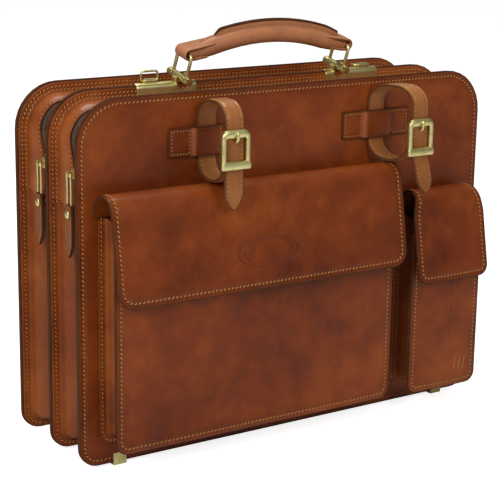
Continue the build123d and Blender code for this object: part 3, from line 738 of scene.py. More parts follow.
def metal(name, pale, deep, rough=0.24):
    """Cast or bent brass, lacquered: worn bright on its faces and dull olive in its hollows."""
    material, tree, shader = fresh_material(name, {"Metallic": 1.0})
    place = node(tree, "ShaderNodeTexCoord", output="Object")
    patina = noise(tree, place, 90, 3, 0.5)
    scratch = noise(tree, place, 1400, 2, 0.5)
    dye = ramp(tree, patina, [(0.42, pale), (0.8, deep)])
    tree.links.new(dye.output, shader.inputs["Base Color"])
    wear = rough + patina * 0.12 + scratch * 0.04
    tree.links.new(wear.output, shader.inputs["Roughness"])
    height = scratch * 0.25 + patina * 0.5
    bumped(tree, shader, height, 0.06)
    return material


brass = metal("satin_brass", (0.86, 0.78, 0.36), (0.55, 0.47, 0.15), 0.28)
tooth_metal = metal("tooth_metal", (0.42, 0.34, 0.22), (0.20, 0.15, 0.09), 0.35)


def tooth_tree():
    """Geometry nodes that set zip teeth across a path, each a shank with a wider head."""
    tree = bpy.data.node_groups.new("zip_teeth", "GeometryNodeTree")
    tree.interface.new_socket("Path", in_out="INPUT", socket_type="NodeSocketGeometry")
    for name in ("Pitch", "Reach", "Gauge"):
        tree.interface.new_socket(name, in_out="INPUT", socket_type="NodeSocketFloat")
    tree.interface.new_socket("Metal", in_out="INPUT", socket_type="NodeSocketMaterial")
    tree.interface.new_socket("Teeth", in_out="OUTPUT", socket_type="NodeSocketGeometry")
    source = tree.nodes.new("NodeGroupInput")
    result = tree.nodes.new("NodeGroupOutput")
    pitch, reach, gauge, metal_in = (Socket(tree, source.outputs[k]) for k in (1, 2, 3, 4))
    curve = node(tree, "GeometryNodeMeshToCurve", {}, {"Mesh": Socket(tree, source.outputs[0])})
    dots = node(tree, "GeometryNodeResampleCurve", {"mode": "LENGTH"}, {"Curve": curve, "Length": pitch})
    along = node(tree, "GeometryNodeInputTangent")
    up = node(tree, "GeometryNodeInputNamedAttribute", {"data_type": "FLOAT_VECTOR"}, {"Name": "up"})
    heading = node(tree, "FunctionNodeAlignRotationToVector", {"axis": "X"}, {"Vector": along})
    facing = node(tree, "FunctionNodeAlignRotationToVector", {"axis": "Z", "pivot_axis": "X"},
                  {"Rotation": heading, "Vector": up})
    shank_size = node(tree, "ShaderNodeCombineXYZ", {}, {"X": pitch * 0.5, "Y": reach, "Z": gauge * 0.7})
    head_size = node(tree, "ShaderNodeCombineXYZ", {}, {"X": pitch * 0.72, "Y": reach * 0.35, "Z": gauge})
    shift = node(tree, "ShaderNodeCombineXYZ", {}, {"X": 0.0, "Y": reach * 0.4, "Z": 0.0})
    shank = node(tree, "GeometryNodeMeshCube", {}, {"Size": shank_size})
    head = node(tree, "GeometryNodeMeshCube", {}, {"Size": head_size})
    moved = node(tree, "GeometryNodeTransform", {}, {"Geometry": head, "Translation": shift})
    tooth = tree.nodes.new("GeometryNodeJoinGeometry")
    tree.links.new(moved.output, tooth.inputs[0])
    tree.links.new(shank.output, tooth.inputs[0])
    laid = node(tree, "GeometryNodeInstanceOnPoints", {},
                {"Points": dots, "Instance": Socket(tree, tooth.outputs[0]), "Rotation": facing})
    real = node(tree, "GeometryNodeRealizeInstances", {}, {"Geometry": laid})
    done = node(tree, "GeometryNodeSetMaterial", {}, {"Geometry": real, "Material": metal_in})
    tree.links.new(done.output, result.inputs[0])
    return tree


tooth_setting = tooth_tree()


def along_path(name, path, tree, given):
    """Runs a geometry-node tree along a path of (point, up) pairs and makes the result plain."""
    mesh = bpy.data.meshes.new(name)
    mesh.from_pydata([at(*p) for p, _ in path], [(k, k + 1) for k in range(len(path) - 1)], [])
    up = mesh.attributes.new("up", "FLOAT_VECTOR", "POINT")
    up.data.foreach_set("vector", [c for _, n in path for c in n])
    carrier = bpy.data.objects.new(name, mesh)
    bpy.context.scene.collection.objects.link(carrier)
    modifier = carrier.modifiers.new(name, "NODES")
    modifier.node_group = tree
    for item in tree.interface.items_tree:
        if item.name in given:
            modifier[item.identifier] = given[item.name]
    return made_plain(carrier, None)


def part_with(piece, way_y, fixed, moving, width, y_mid):
    """Bakes an upper piece's transform into its mesh."""
    run, rise = 1 / width, 1 / 100
    size = run * run + rise * rise
    step = Vector((0, way_y * run / size / 1000, rise / size / 1000))
    middle = at(0, y_mid, SLIDER_Z)
    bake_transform(piece)


for name, (y0, y1, fixed, moving, way) in compartments.items():
    width, y_mid = y1 - y0, (y0 + y1) / 2
    sides = (("front", lambda d: y0 + d, -1, moving if way > 0 else fixed),
             ("back", lambda d: y1 - d, 1, fixed if way > 0 else moving))
    for side, place, way_y, body in sides:
        other = fixed if body == moving else moving
        half = 6.5
        band = zip_band(f"{name}_{side}_band", width, place, half)
        part_with(band, way_y, other, body, width, y_mid)
        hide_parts(f"{name}_zip_band_{side}")
        out = Vector((0, -way_y, 0))
        for label, inset in (("outer", 4.2), ("inner", 7.3)):
            row = [(Vector((x - nx * inset, place(FLANGE + 0.35), z - nz * inset)), out)
                   for x, z, nx, nz in band_walk]
            seam = sew(f"{name}_{side}_flange_thread_{label}", row, None)
            part_with(seam, way_y, other, body, width, y_mid)
        for end in (0, -1):
            x, z, nx, nz = band_walk[end]
            seam = []
            for i, d in band_section(end, width, half)[5:]:
                level = z - band_drop(d, width, z) + 2.2
                seam.append((Vector((x - nx * (i - 0.1), place(d), level)), Vector((nx, 0, 0))))
            label = "left" if end == 0 else "right"
            seam = sew(f"{name}_{side}_end_thread_{label}", seam, None, False, 2.9, 2.2, 0.85)
            part_with(seam, way_y, other, body, width, y_mid)
        edge_row, tape_line, teeth_line = [], [], []
        for k, (x, z, nx, nz) in enumerate(band_walk):
            line = band_section(k, width, half)
            inset, reach = line[-1][0], line[-1][1]
            if z >= SLIDER_Z - 4:
                level = inset - 0.7
                edge_row.append((Vector((x - nx * level, place(reach - 2.2), z - nz * level)),
                                 Vector((nx, 0, nz))))
                tape_line.append((x, z, nx, nz, inset, reach))
        seam = sew(f"{name}_{side}_band_thread", edge_row, None)
        part_with(seam, way_y, other, body, width, y_mid)
        verts, faces = [], []
        for x, z, nx, nz, inset, reach in tape_line:
            full = width / 2 - reach
            tip = reach + min(4.6, max(0.5, full - 0.4))
            cut = ((inset + 1.7, reach - 3.0), (inset + 1.5, tip), (inset + 2.3, tip),
                   (inset + 2.5, reach - 3.0))
            for i, d in cut:
                verts.append(Vector((x - nx * i, place(d), z - nz * i)))
            teeth_line.append((Vector((x - nx * (inset + 1.9), place(tip + 0.4), z - nz * (inset + 1.9))),
                               Vector((nx, 0, nz))))
        for k in range(len(tape_line) - 1):
            for m in range(4):
                a, b = 4 * k + m, 4 * k + (m + 1) % 4
                faces.append((a, b, b + 4, a + 4))
        last = 4 * (len(tape_line) - 1)
        faces += [(0, 1, 2, 3), (last, last + 1, last + 2, last + 3)]
        tape = solid_mesh(f"{name}_{side}_tape", verts, faces, None, (tape_cloth,))
        part_with(tape, way_y, other, body, width, y_mid)
        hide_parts(f"{name}_zip_teeth_{side}")
        given = {"Pitch": 0.0021, "Reach": 0.0026 * way_y, "Gauge": 0.0021, "Metal": tooth_metal}
        teeth = along_path(f"{name}_{side}_teeth", teeth_line, tooth_setting, given)
        part_with(teeth, way_y, other, body, width, y_mid)


# Zip sliders and pulls: each slider carries a long brass loop. A leather tongue, stitched
# round its edge, hangs from the loop and is closed by a brass stud.
def eased(node_name, width, material):
    """A brass part with its sharp edges rounded off, standing in for its CAD node."""
    mesh = frame["nodes"][node_name].data.copy()
    mesh.materials.clear()
    mesh.materials.append(material)
    work = bmesh.new()
    work.from_mesh(mesh)
    bmesh.ops.remove_doubles(work, verts=work.verts, dist=1e-6)
    bmesh.ops.dissolve_limit(work, angle_limit=math.radians(1), verts=work.verts, edges=work.edges)
    bmesh.ops.recalc_face_normals(work, faces=work.faces)
    work.to_mesh(mesh)
    work.free()
    piece = bpy.data.objects.new(node_name + "_brass", mesh)
    bpy.context.scene.collection.objects.link(piece)
    bevel = piece.modifiers.new("bevel", "BEVEL")
    bevel.width = width / 1000
    bevel.segments = 3
    bevel.limit_method = "ANGLE"
    bevel.angle_limit = math.radians(35)
    made_plain(piece, frame["nodes"][node_name]["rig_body"])
    piece.data.shade_smooth()
    piece.data.set_sharp_from_angle(angle=math.radians(35))
    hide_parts(node_name)
    return piece


def turned(name, start, axis, profile, body, material, sides=20):
    """A lathe part: profile is a list of (distance along the axis, radius)."""
    axis = Vector(axis).normalized()
    side = axis.orthogonal().normalized()
    other = axis.cross(side)
    verts, faces = [], []
    for along, radius in profile:
        for k in range(sides):
            angle = 2 * math.pi * k / sides
            verts.append(Vector(start) + axis * along
                         + (side * math.cos(angle) + other * math.sin(angle)) * radius)
    for row in range(len(profile) - 1):
        for k in range(sides):
            a, b = row * sides + k, row * sides + (k + 1) % sides
            faces.append((a, b, b + sides, a + sides))
    faces.append(tuple(range(sides)))
    faces.append(tuple((len(profile) - 1) * sides + k for k in range(sides)))
    return solid_mesh(name, verts, faces, body, (material,), sharp=38)


def wire(name, path, radius, body, material, closed=False, sides=12):
    """Round wire bent along a path; radius may be one number or one for each point."""
    radii = radius if isinstance(radius, list) else [radius] * len(path)
    verts, faces = [], []
    count = len(path)
    side = None
    for k, point in enumerate(path):
        ahead = path[(k + 1) % count] if closed or k < count - 1 else path[k]
        behind = path[(k - 1) % count] if closed or k > 0 else path[k]
        along = (Vector(ahead) - Vector(behind)).normalized()
        side = along.orthogonal() if side is None else side - along * side.dot(along)
        side.normalize()
        other = along.cross(side)
        for s in range(sides):
            angle = 2 * math.pi * s / sides
            verts.append(Vector(point) + (side * math.cos(angle) + other * math.sin(angle)) * radii[k])
    for k in range(count if closed else count - 1):
        for s in range(sides):
            a, b = k * sides + s, k * sides + (s + 1) % sides
            c, d = ((k + 1) % count) * sides + (s + 1) % sides, ((k + 1) % count) * sides + s
            faces.append((a, b, c, d))
    if not closed:
        faces += [tuple(range(sides)), tuple((count - 1) * sides + s for s in range(sides))]
    return solid_mesh(name, verts, faces, body, (material,), sharp=50)


PULL_X = -197.6
tongue_hide = leather("tongue_hide", (0.20, 0.05, 0.007), (0.33, 0.095, 0.015), (0.45, 0.16, 0.035), 0.36)


def pointed_strip(half, start, end, point):
    """The rim of a strip from v = start to a rounded point at v = end."""
    def rim(inset):
        low, high, wide = start + inset, end - 1.25 * inset, half - inset
        side = [(wide, low + (high - point - low) * k / 14) for k in range(15)]
        for k in range(1, 10):
            t = k / 10
            side.append((wide * (1 - t ** 1.7) ** 0.85, high - point + point * t))
        return side + [(0.0, high)] + [(-u, v) for u, v in reversed(side)]
    return rim


for name, (y0, y1, fixed, moving, way) in compartments.items():
    y = (y0 + y1) / 2
    eased(f"{name}_zip_slider", 0.35, brass)
    loop = []
    for u, v in rounded(-3.1, 3.1, -29, 0, (2.6, 2.6, 3.0, 3.0), 0.0, (1, 8)):
        loop.append(Vector((PULL_X - 0.25 * math.sin(math.pi * v / 29), y + u, SLIDER_Z + v)))
    pull = wire(f"{name}_pull_wire", loop, 0.95, name + "_pull", brass, True)
    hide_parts(f"{name}_pull_loop")
    tongue_rim = pointed_strip(6.3, 0.0, 43.5, 13.0)

    def tongue_skin(u, v):
        waist = 0.62 + 0.38 * min(1, v / 12) ** 0.7
        return Vector((PULL_X - 1.3, y + u * waist, 213.5 - v)), Vector((-1, 0, 0))

    tongue = panel(f"{name}_tongue", tongue_rim, tongue_skin, 2.5, 0, (3.0,), name + "_pull",
                   (tongue_hide, edge), seams=(1.2,))
    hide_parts(f"{name}_pull_tongue")
    row = [tongue_skin(u, v) for u, v in tongue_rim(1.7) if v > 9]
    sew(f"{name}_tongue_thread", row, name + "_pull", False, 2.7, 1.9, 0.6)
    z = SLIDER_Z - 29 - 3.6
    stud = turned(f"{name}_stud", (PULL_X - 3.4, y, z), (1, 0, 0),
                  [(0, 0.5), (0.1, 1.6), (0.35, 2.5), (0.8, 3.2), (1.3, 3.5), (1.7, 3.5), (2.0, 3.2),
                   (2.1, 1.3), (5.1, 1.3), (5.2, 2.4), (5.9, 2.5), (6.2, 2.0)], name + "_pull", brass, 24)
    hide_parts(f"{name}_pull_stud")
    for side in (-1, 1):
        verts = []
        for z in (199.0, 206.0, 214.0, 226.0, 232.0, 237.0):
            for i, d in ((14.4, -4.3), (14.2, 0.0), (14.4, 4.3), (15.4, 4.3), (15.2, 0.0), (15.4, -4.3)):
                verts.append(Vector((side * (HALF_LENGTH - i), y + d, z)))
        faces = [tuple(range(6)), tuple(30 + k for k in range(6))]
        for row in range(5):
            faces += [(6 * row + k, 6 * row + (k + 1) % 6, 6 * row + 6 + (k + 1) % 6, 6 * row + 6 + k)
                      for k in range(6)]
        closed_end = solid_mesh(f"{name}_zip_end_{'left' if side < 0 else 'right'}", verts, faces,
                                name + "_zip_end", (tape_cloth,))
    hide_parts(f"{name}_zip_end")


# Pockets: a stitched front leather on a folded gusset, whose flange is sewn to the board.
# The fronts belly out a little; the phone pocket carries three slanted bar tacks.
def pocket(name, x0, x1, z0, top, flange_top, radius, front, belly, tilt_top):
    """A pocket's panel, its gusset and their stitching."""
    rim = lambda inset: rounded(x0, x1, z0, top, (radius, radius, 1.5, 1.5), inset, (22, 18))
    middle, half, tall = (x0 + x1) / 2, (x1 - x0) / 2, top - z0

    def skin(u, v):
        a, b = (u - middle) / half, (v - z0) / tall
        bow = max(0.0, 1 - a ** 4) * math.sin(math.pi * min(1, max(0, b)) ** 0.8)
        wave = 0.35 * math.sin(u * 0.045 + v * 0.02) * math.sin(v * 0.06 + 0.8)
        out = belly * bow + wave * max(0.0, 1 - a * a)
        slope = Vector((0.04 * a ** 3 * belly / 2, -1, 0.012 * belly * (b - 0.45))).normalized()
        return Vector((u, front - out, v)), slope

    # Paler within 12 mm of the pocket's bottom: a painted reflection.
    def wear_and_highlight(u, v):
        low = max(0.0, 1 - (v - z0) / 12)
        return 0.5 * low ** 2

    rings = tuple(r for r in (9.0, 14.0, 22.0, 32.0, 48.0, 66.0, 84.0) if r < half - 2 and r < tall / 2 - 2)
    face = panel(name + "_face", rim, skin, 2.4, 5.0, rings, "front_panel", (hide, edge), wear_and_highlight)
    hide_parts(name + "_panel")
    row = [skin(u, v) for u, v in rim(5.0)]
    sew(name + "_face_thread", [(p - n * 0.15, n) for p, n in row], "front_panel", True)

    width = -front - 2.4
    walk = rim_walk(flange_top, z0, radius + 1, 16, 26, half)

    def line():
        points = [(1.0, 1.0), (1.3, 1.6), (3.5, 1.5), (6.0, 1.6), (7.2, 2.0), (7.9, 3.0)]
        for step in range(1, 6):
            t = step / 6
            points.append((7.9 + 5.5 * t ** 1.5, 3.0 + (width * 0.52 - 3.0) * t))
        points.append((13.6, width * 0.52))
        for step in range(1, 6):
            t = step / 6
            points.append((7.9 + 5.5 * (1 - t) ** 1.5, width * (0.52 + 0.48 * t) - 3.0 * t))
        return points + [(7.9, width - 3.0), (7.2, width - 2.0), (6.0, width - 1.6), (3.5, width - 1.5),
                         (1.3, width - 1.6), (1.0, width - 1.0)]

    def section(k):
        share = max(0.0, (walk[k][1] - flange_top + 40) / 40)
        return [(i, -d, -share * tilt_top * min(1.0, d / width)) for i, d in thickened(line(), 1.4)]

    # Darker in the V crease: painted shade. Paler on the bends beside the flanges: painted highlight. A
    # little darker elsewhere.
    def marks(k, m):
        return (0.9 if 9 <= m <= 13 else 0.35), 0.25 if m in (5, 16, 17) else 0.05

    fold = swept(name + "_fold", walk, section, "front_panel", (soft_hide,), marks, 50, middle)
    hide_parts(name + "_gusset")
    row = [(Vector((x + middle - nx * 3.4, -1.75, z - nz * 3.4)), Vector((0, -1, 0)))
           for x, z, nx, nz in walk]
    sew(name + "_flange_thread", row, "front_panel")


POCKET_FRONT = -30.0
pocket("main_pocket", x0=-188.0, x1=88.0, z0=17.0, top=198.0, flange_top=206.5, radius=12.0,
       front=POCKET_FRONT, belly=1.6, tilt_top=9.0)
pocket("phone_pocket", x0=110.0, x1=189.0, z0=15.0, top=163.0, flange_top=179.5, radius=10.0,
       front=POCKET_FRONT, belly=1.0, tilt_top=17.0)
for k in range(3):
    x = 163.0 + 5.2 * k
    tack = [(Vector((x + 1.6 * t, POCKET_FRONT - 0.9, 31.0 + 10.0 * t)), Vector((0, -1, 0)))
            for t in (0, 0.5, 1)]
    sew(f"bar_tack_{k}", tack, "front_panel", False, 1.25, 2.2, 0.8, 86)


# Flaps: one leather each, sewn to the board behind the pocket and bent over to the front in
# an open roll. The bend is paler, stretched leather with a painted highlight, and the rim is stitched and
# edge painted.
def course(y, z, heading, runs, outer=1):
    """A side-view line made of runs (length, degrees turned). The result gives the point and
    the outward normal at a distance along it."""
    joints = [(0.0, y, z, math.radians(heading))]
    for length, turned_by in runs:
        done, y, z, a = joints[-1]
        swing = math.radians(turned_by)
        if swing:
            r = length / swing
            y, z = y + r * (math.sin(a + swing) - math.sin(a)), z - r * (math.cos(a + swing) - math.cos(a))
        else:
            y, z = y + length * math.cos(a), z + length * math.sin(a)
        joints.append((done + length, y, z, a + swing))

    def place(s):
        k = max(n for n in range(len(runs)) if joints[n][0] <= max(s, 0.0) or n == 0)
        done, y, z, a = joints[k]
        length, turned_by = runs[k]
        swing = math.radians(turned_by) * (s - done) / length
        if swing:
            r = (s - done) / swing
            y, z = y + r * (math.sin(a + swing) - math.sin(a)), z - r * (math.cos(a + swing) - math.cos(a))
        else:
            y, z = y + (s - done) * math.cos(a), z + (s - done) * math.sin(a)
        a += swing
        return y, z, outer * math.sin(a), -outer * math.cos(a)

    return place


def flap(name, x0, x1, root, fold_z, radius, lean, end_z, corner, neck, skin_material, fold_node, axis):
    """A flap from its seam on the board, over the fold and down to its rounded end."""
    rise = fold_z - root
    swing = 180 - lean
    roll = radius * math.radians(swing)
    top_z = fold_z + radius * math.sin(math.radians(swing))
    hang = (top_z - end_z) / math.cos(math.radians(lean))
    total = rise + roll + hang
    side_view = course(0.0, root, 90, [(rise, 0), (roll, swing), (hang, 0)])
    middle, half = (x0 + x1) / 2, (x1 - x0) / 2

    def skin(u, v):
        y, z, ny, nz = side_view(v)
        t = min(1, max(0, (v - rise - roll * 0.55) / (roll * 0.75)))
        shrink = 1 - neck / half * (1 - t * t * (3 - 2 * t))
        down = max(0, (v - rise - roll) / hang)
        curl = 1.3 * down ** 2 * (0.5 + 0.5 * math.cos((u - middle) / half * 2.4))
        return Vector((middle + (u - middle) * shrink, y - curl * 0.6, z)), Vector((0, ny, nz))

    # Paler across the fold (stretched leather with a painted highlight), and a little paler towards the
    # lower end.
    def wear_and_highlight(u, v):
        t = (v - rise) / roll
        wave = 0.75 + 0.25 * math.sin(u * 0.06) * math.sin(u * 0.023 + 1)
        return max(0.0, 1 - abs(t - 0.52) / 0.4) * 0.85 * wave + 0.1 * max(0.0, (v - total + 14) / 14)

    rim = lambda inset: rounded(x0, x1, 0.0, total, (1.0, 1.0, corner, corner), inset, (30, 64))
    cuts = [(1, rise + roll * k / 22) for k in range(23)]
    cuts += [(1, rise + roll + hang * k / 6) for k in range(1, 6)]
    cuts += [(0, middle + half * k / 5) for k in range(-4, 5)]
    piece = panel(name + "_hide", rim, skin, 2.4, 4.8, (9.0, 16.0, 28.0), None, (skin_material, edge), wear_and_highlight,
                  cuts=cuts)
    row = [(p - n * 0.15, n) for p, n in (skin(u, v) for u, v in rim(4.8)[18:] if v > 7)]
    threads = sew(name + "_thread", row, None)
    above, below = at(0, axis[0], axis[1] + 7), at(0, axis[0], axis[1] - 6)
    for item in (piece, threads):
        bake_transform(item)
    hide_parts(name, fold_node)


stamped_hide = leather("stamped_hide", *COGNAC, press=(-49.0, 171.0, 29.0, 12.0))
flap("main_flap", x0=-191.0, x1=94.0, root=207.0, fold_z=212.5, radius=15.3, lean=9.3, end_z=141.0,
     corner=14.0, neck=0.0, skin_material=stamped_hide, fold_node="main_flap_fold", axis=(-29.4, 212.5))
flap("phone_flap", x0=110.0, x1=190.0, root=180.0, fold_z=185.0, radius=14.5, lean=10.2, end_z=119.5,
     corner=10.0, neck=6.0, skin_material=hide, fold_node="phone_flap_fold", axis=(-27.8, 185.0))


# Umbrella loops: a stitched strap goes up behind a sewn keeper, over and down through a
# buckle, and hangs free below it. A second strap closes the loop from below to the buckle.
strap_hide = leather("strap_hide", (0.22, 0.06, 0.010), (0.36, 0.12, 0.026), (0.48, 0.20, 0.06), 0.38)
strap_edge = edge_paint("strap_edge", (0.07, 0.022, 0.008), (0.20, 0.075, 0.025))
LOOP_HALF = 8.8
LOOP_DEPTH = 43.0
LOOP_TOP = 296.0
LOOP_BOTTOM = 229.8
UPPER_START = 256.0
LOWER_START = 258.0
STRAP_MIDDLE = LOOP_DEPTH - 1.2
TAIL_TOP = 245.0


def strap(name, x, skew, side_view, start, end, point, wear_and_highlight, body, lean=None, bite=2.9):
    """A strap along a side view, shifted sideways by skew as it comes forwards."""
    rim = pointed_strip(LOOP_HALF, start, end, point) if point else (
        lambda inset: rounded(-LOOP_HALF, LOOP_HALF, start, end, (0.6,) * 4, inset, (3, 40)))

    def skin(u, v):
        y, z, ny, nz = side_view(v)
        slip = -skew * y
        if lean and v > lean[0]:
            slip += (v - lean[0]) * lean[1] * min(1, (v - lean[0]) / 14)
        return Vector((x + u + slip, y, z)), Vector((0, ny, nz))

    cuts = [(1, start + (end - start) * k / 60) for k in range(1, 60)] + [(0, -5.0), (0, 0.0), (0, 5.0)]
    piece = panel(name, rim, skin, 2.4, 2.9, (5.5,), body, (strap_hide, strap_edge), wear_and_highlight, seams=(1.2,),
                  cuts=cuts)
    if point:
        row = [(p - n * 0.15, n) for p, n in (skin(u, v) for u, v in rim(bite))]
        rows = [row]
    else:
        steps = [start + 1 + (end - start - 2) * k / 70 for k in range(71)]
        rows = [[(p - n * 0.15, n) for p, n in (skin(side * (LOOP_HALF - bite), v) for v in steps)]
                for side in (-1, 1)]
    rows += [[(p - n * 2.15, -n) for p, n in path[len(path) // 8: -len(path) // 8]] for path in rows]
    threads = [sew(f"{name}_thread_{k}", path, body, False, 3.6, 2.6, 0.85) for k, path in enumerate(rows)]
    return piece, threads


# for each loop: its middle, its sideways skew, the height of its buckle and of its tail's end
loops = {"left": (-87.5, 0.0, 259.0, 209.0), "right": (85.5, 0.36, 253.0, 201.5)}
for name, (x, skew, buckle_z, tail_end) in loops.items():
    bends = 17.0
    quarter = bends * math.pi / 2
    climb, across = LOOP_TOP - bends - UPPER_START, LOOP_DEPTH - 2 * bends
    fold_end = climb + 2 * quarter + across
    drop = LOOP_TOP - bends - tail_end
    runs = [(climb, 0), (quarter, 90), (across, 0), (quarter, 90), (drop, 0)]
    upper = course(0.0, UPPER_START, 90, runs)

    # Paler over the strap's top bend: stretched leather with a painted highlight.
    def upper_bend_highlight(u, v, begin=climb, stop=fold_end):
        return max(0.0, 1 - abs((v - begin) / (stop - begin) - 0.6) / 0.55) * 1.15

    lean = (fold_end + LOOP_TOP - bends - TAIL_TOP, 0.24 if name == "right" else 0.0)
    piece, threads = strap(f"{name}_strap", x, skew, upper, 0.0, fold_end + drop, 14.0, upper_bend_highlight,
                           None if name == "left" else "front_panel", lean)
    nodes = [f"{name}_strap_upper"]
    if name == "left":
        nodes.append("left_strap_tail")
        for item in (piece, *threads):
            at(x, -STRAP_MIDDLE, TAIL_TOP)
            at(x, -STRAP_MIDDLE, TAIL_TOP - 8.0)
            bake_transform(item)
    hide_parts(*nodes)

    low_bend = 18.0
    low_quarter = low_bend * math.pi / 2
    depth = LOOP_DEPTH - 2.7
    low_runs = [(LOWER_START - LOOP_BOTTOM - low_bend, 0), (low_quarter, -90), (depth - 2 * low_bend, 0),
                (low_quarter, -90), (buckle_z - LOOP_BOTTOM - low_bend + 0.5, 0)]
    lower = course(0.0, LOWER_START, 270, low_runs, -1)
    low_end = sum(length for length, _ in low_runs)

    # Paler round the bottom of the lower strap: stretched leather with a painted highlight.
    def lower_bend_highlight(u, v, stop=low_end):
        return max(0.0, 1 - abs(v / stop - 0.45) / 0.35) * 0.8

    piece, threads = strap(f"{name}_strap_under", x, skew, lower, 0.0, low_end, 0, lower_bend_highlight, "front_panel")
    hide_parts(f"{name}_strap_lower")

    def keeper_skin(u, v):
        t = min(1, max(0, (15.8 - abs(u)) / 3.6))
        lift = 3.0 * t * t * (3 - 2 * t)
        return Vector((x + u, -2.0 - lift, 260.0 + v)), Vector((0, -1, 0))

    keeper_rim = lambda inset: rounded(-36, 36, -12, 12, (1.2,) * 4, inset, (40, 8))
    keeper_cuts = [(0, side * (12.0 + 0.7 * k)) for side in (-1, 1) for k in range(7)]
    # Paler on the keeper's raised steps: painted highlight.
    keeper = panel(f"{name}_keeper", keeper_rim, keeper_skin, 2.0, 2.6, (5.5,), "front_panel", (hide, edge),
                   lambda u, v: 0.9 * max(0.0, 1 - abs(abs(u) - 13.5) / 3.5), seams=(1.0,), cuts=keeper_cuts)
    name == "left"
    for side in (-1, 1):
        u0, u1 = sorted((side * 33.4, side * 16.6))
        row = [keeper_skin(u, v) for u, v in rounded(u0, u1, -9.4, 9.4, (0.5,) * 4, 0.0, (5, 6))]
        label = "left" if side < 0 else "right"
        sew(f"{name}_keeper_thread_{label}", row, "front_panel", True, 3.0, 2.1, 0.75)
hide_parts("keepers")


# Buckles: a cast brass frame with a bevelled top, deep side legs and a thick lower bar. The
# strap turns round its middle bar, which carries the prong.
def casting(name, rings, body):
    """A closed casting from loops of points that follow each other, back to the first."""
    size, count = len(rings[0]), len(rings)
    verts = [p for ring in rings for p in ring]
    faces = []
    for row in range(count):
        for k in range(size):
            a, b = row * size + k, row * size + (k + 1) % size
            c, d = ((row + 1) % count) * size + (k + 1) % size, ((row + 1) % count) * size + k
            faces.append((a, b, c, d))
    return solid_mesh(name, verts, faces, body, (brass,), sharp=44)


for name, (x, skew, buckle_z, _) in loops.items():
    x += skew * STRAP_MIDDLE
    rows = [(0.9, 0.0), (0.25, 0.35), (0.0, 1.0), (0.15, 1.9), (0.9, 2.7), (2.0, 3.0), (3.0, 2.8),
            (3.7, 2.0), (3.9, 1.2), (3.9, 0.6), (3.4, 0.0)]
    rings = []
    for inset, height in rows:
        ring = []
        for u, v in rounded(-13.2, 13.2, -13.0, 16.0, (2.0, 2.0, 6.5, 6.5), inset, (8, 14)):
            v -= (inset / 3.9) * 3.0 * (1 if v > 8 else 0) * min(1, max(0, (11.0 - abs(u)) / 3))
            deep = min(1, max(0, (v + 11) / 8)) * min(1, max(0, (16.5 - v) / 5))
            back = 3.6 * deep * (1.5 - height) / 1.5 if height < 1.5 else 0.0
            ring.append(Vector((x + u, -LOOP_DEPTH - 0.3 - height + back, buckle_z + v)))
        rings.append(ring)
    frame_piece = casting(f"{name}_buckle_frame", rings, "front_panel")
    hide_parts(f"{name}_buckle")
    layers = []
    bar_rows = ((1.3, -0.1), (0.4, 0.3), (0.0, 1.2), (0.0, 2.4), (0.5, 3.3), (1.5, 3.8), (2.6, 3.9))
    for inset, height in bar_rows:
        layers.append([Vector((x + u, -LOOP_DEPTH - 0.2 - height, buckle_z - 16.2 + v))
                       for u, v in rounded(-13.9, 13.9, 0.0, 6.4, (1.6,) * 4, inset, (6, 3))])
    size = len(layers[0])
    faces = [tuple(range(size)), tuple((len(layers) - 1) * size + k for k in range(size))]
    for row in range(len(layers) - 1):
        for k in range(size):
            a, b = row * size + k, row * size + (k + 1) % size
            faces.append((a, b, b + size, a + size))
    bar_verts = [p for layer in layers for p in layer]
    bar = solid_mesh(f"{name}_buckle_bar", bar_verts, faces, "front_panel", (brass,))
    middle_bar = wire(f"{name}_buckle_pin", [Vector((x - 12.0 + 8 * k, -38.0, buckle_z)) for k in range(4)],
                      1.3, "front_panel", brass)
    stem = [(-36.6, 0.4), (-38.4, 2.1), (-41.0, 4.0), (-44.2, 5.6), (-46.6, 7.4), (-47.4, 9.6),
            (-47.5, 12.0), (-47.2, 14.0)]
    prong = wire(f"{name}_tongue_pin", [Vector((x, y, buckle_z + z)) for y, z in stem],
                 [1.2, 1.3, 1.3, 1.3, 1.25, 1.2, 1.05, 0.6], f"{name}_prong", brass)
    eye = turned(f"{name}_tongue_eye", (x - 1.6, -38.0, buckle_z), (1, 0, 0),
                 [(0, 1.4), (0, 2.2), (0.3, 2.5), (2.9, 2.5), (3.2, 2.2), (3.2, 1.4)],
                 f"{name}_prong", brass)
    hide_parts(f"{name}_prong")


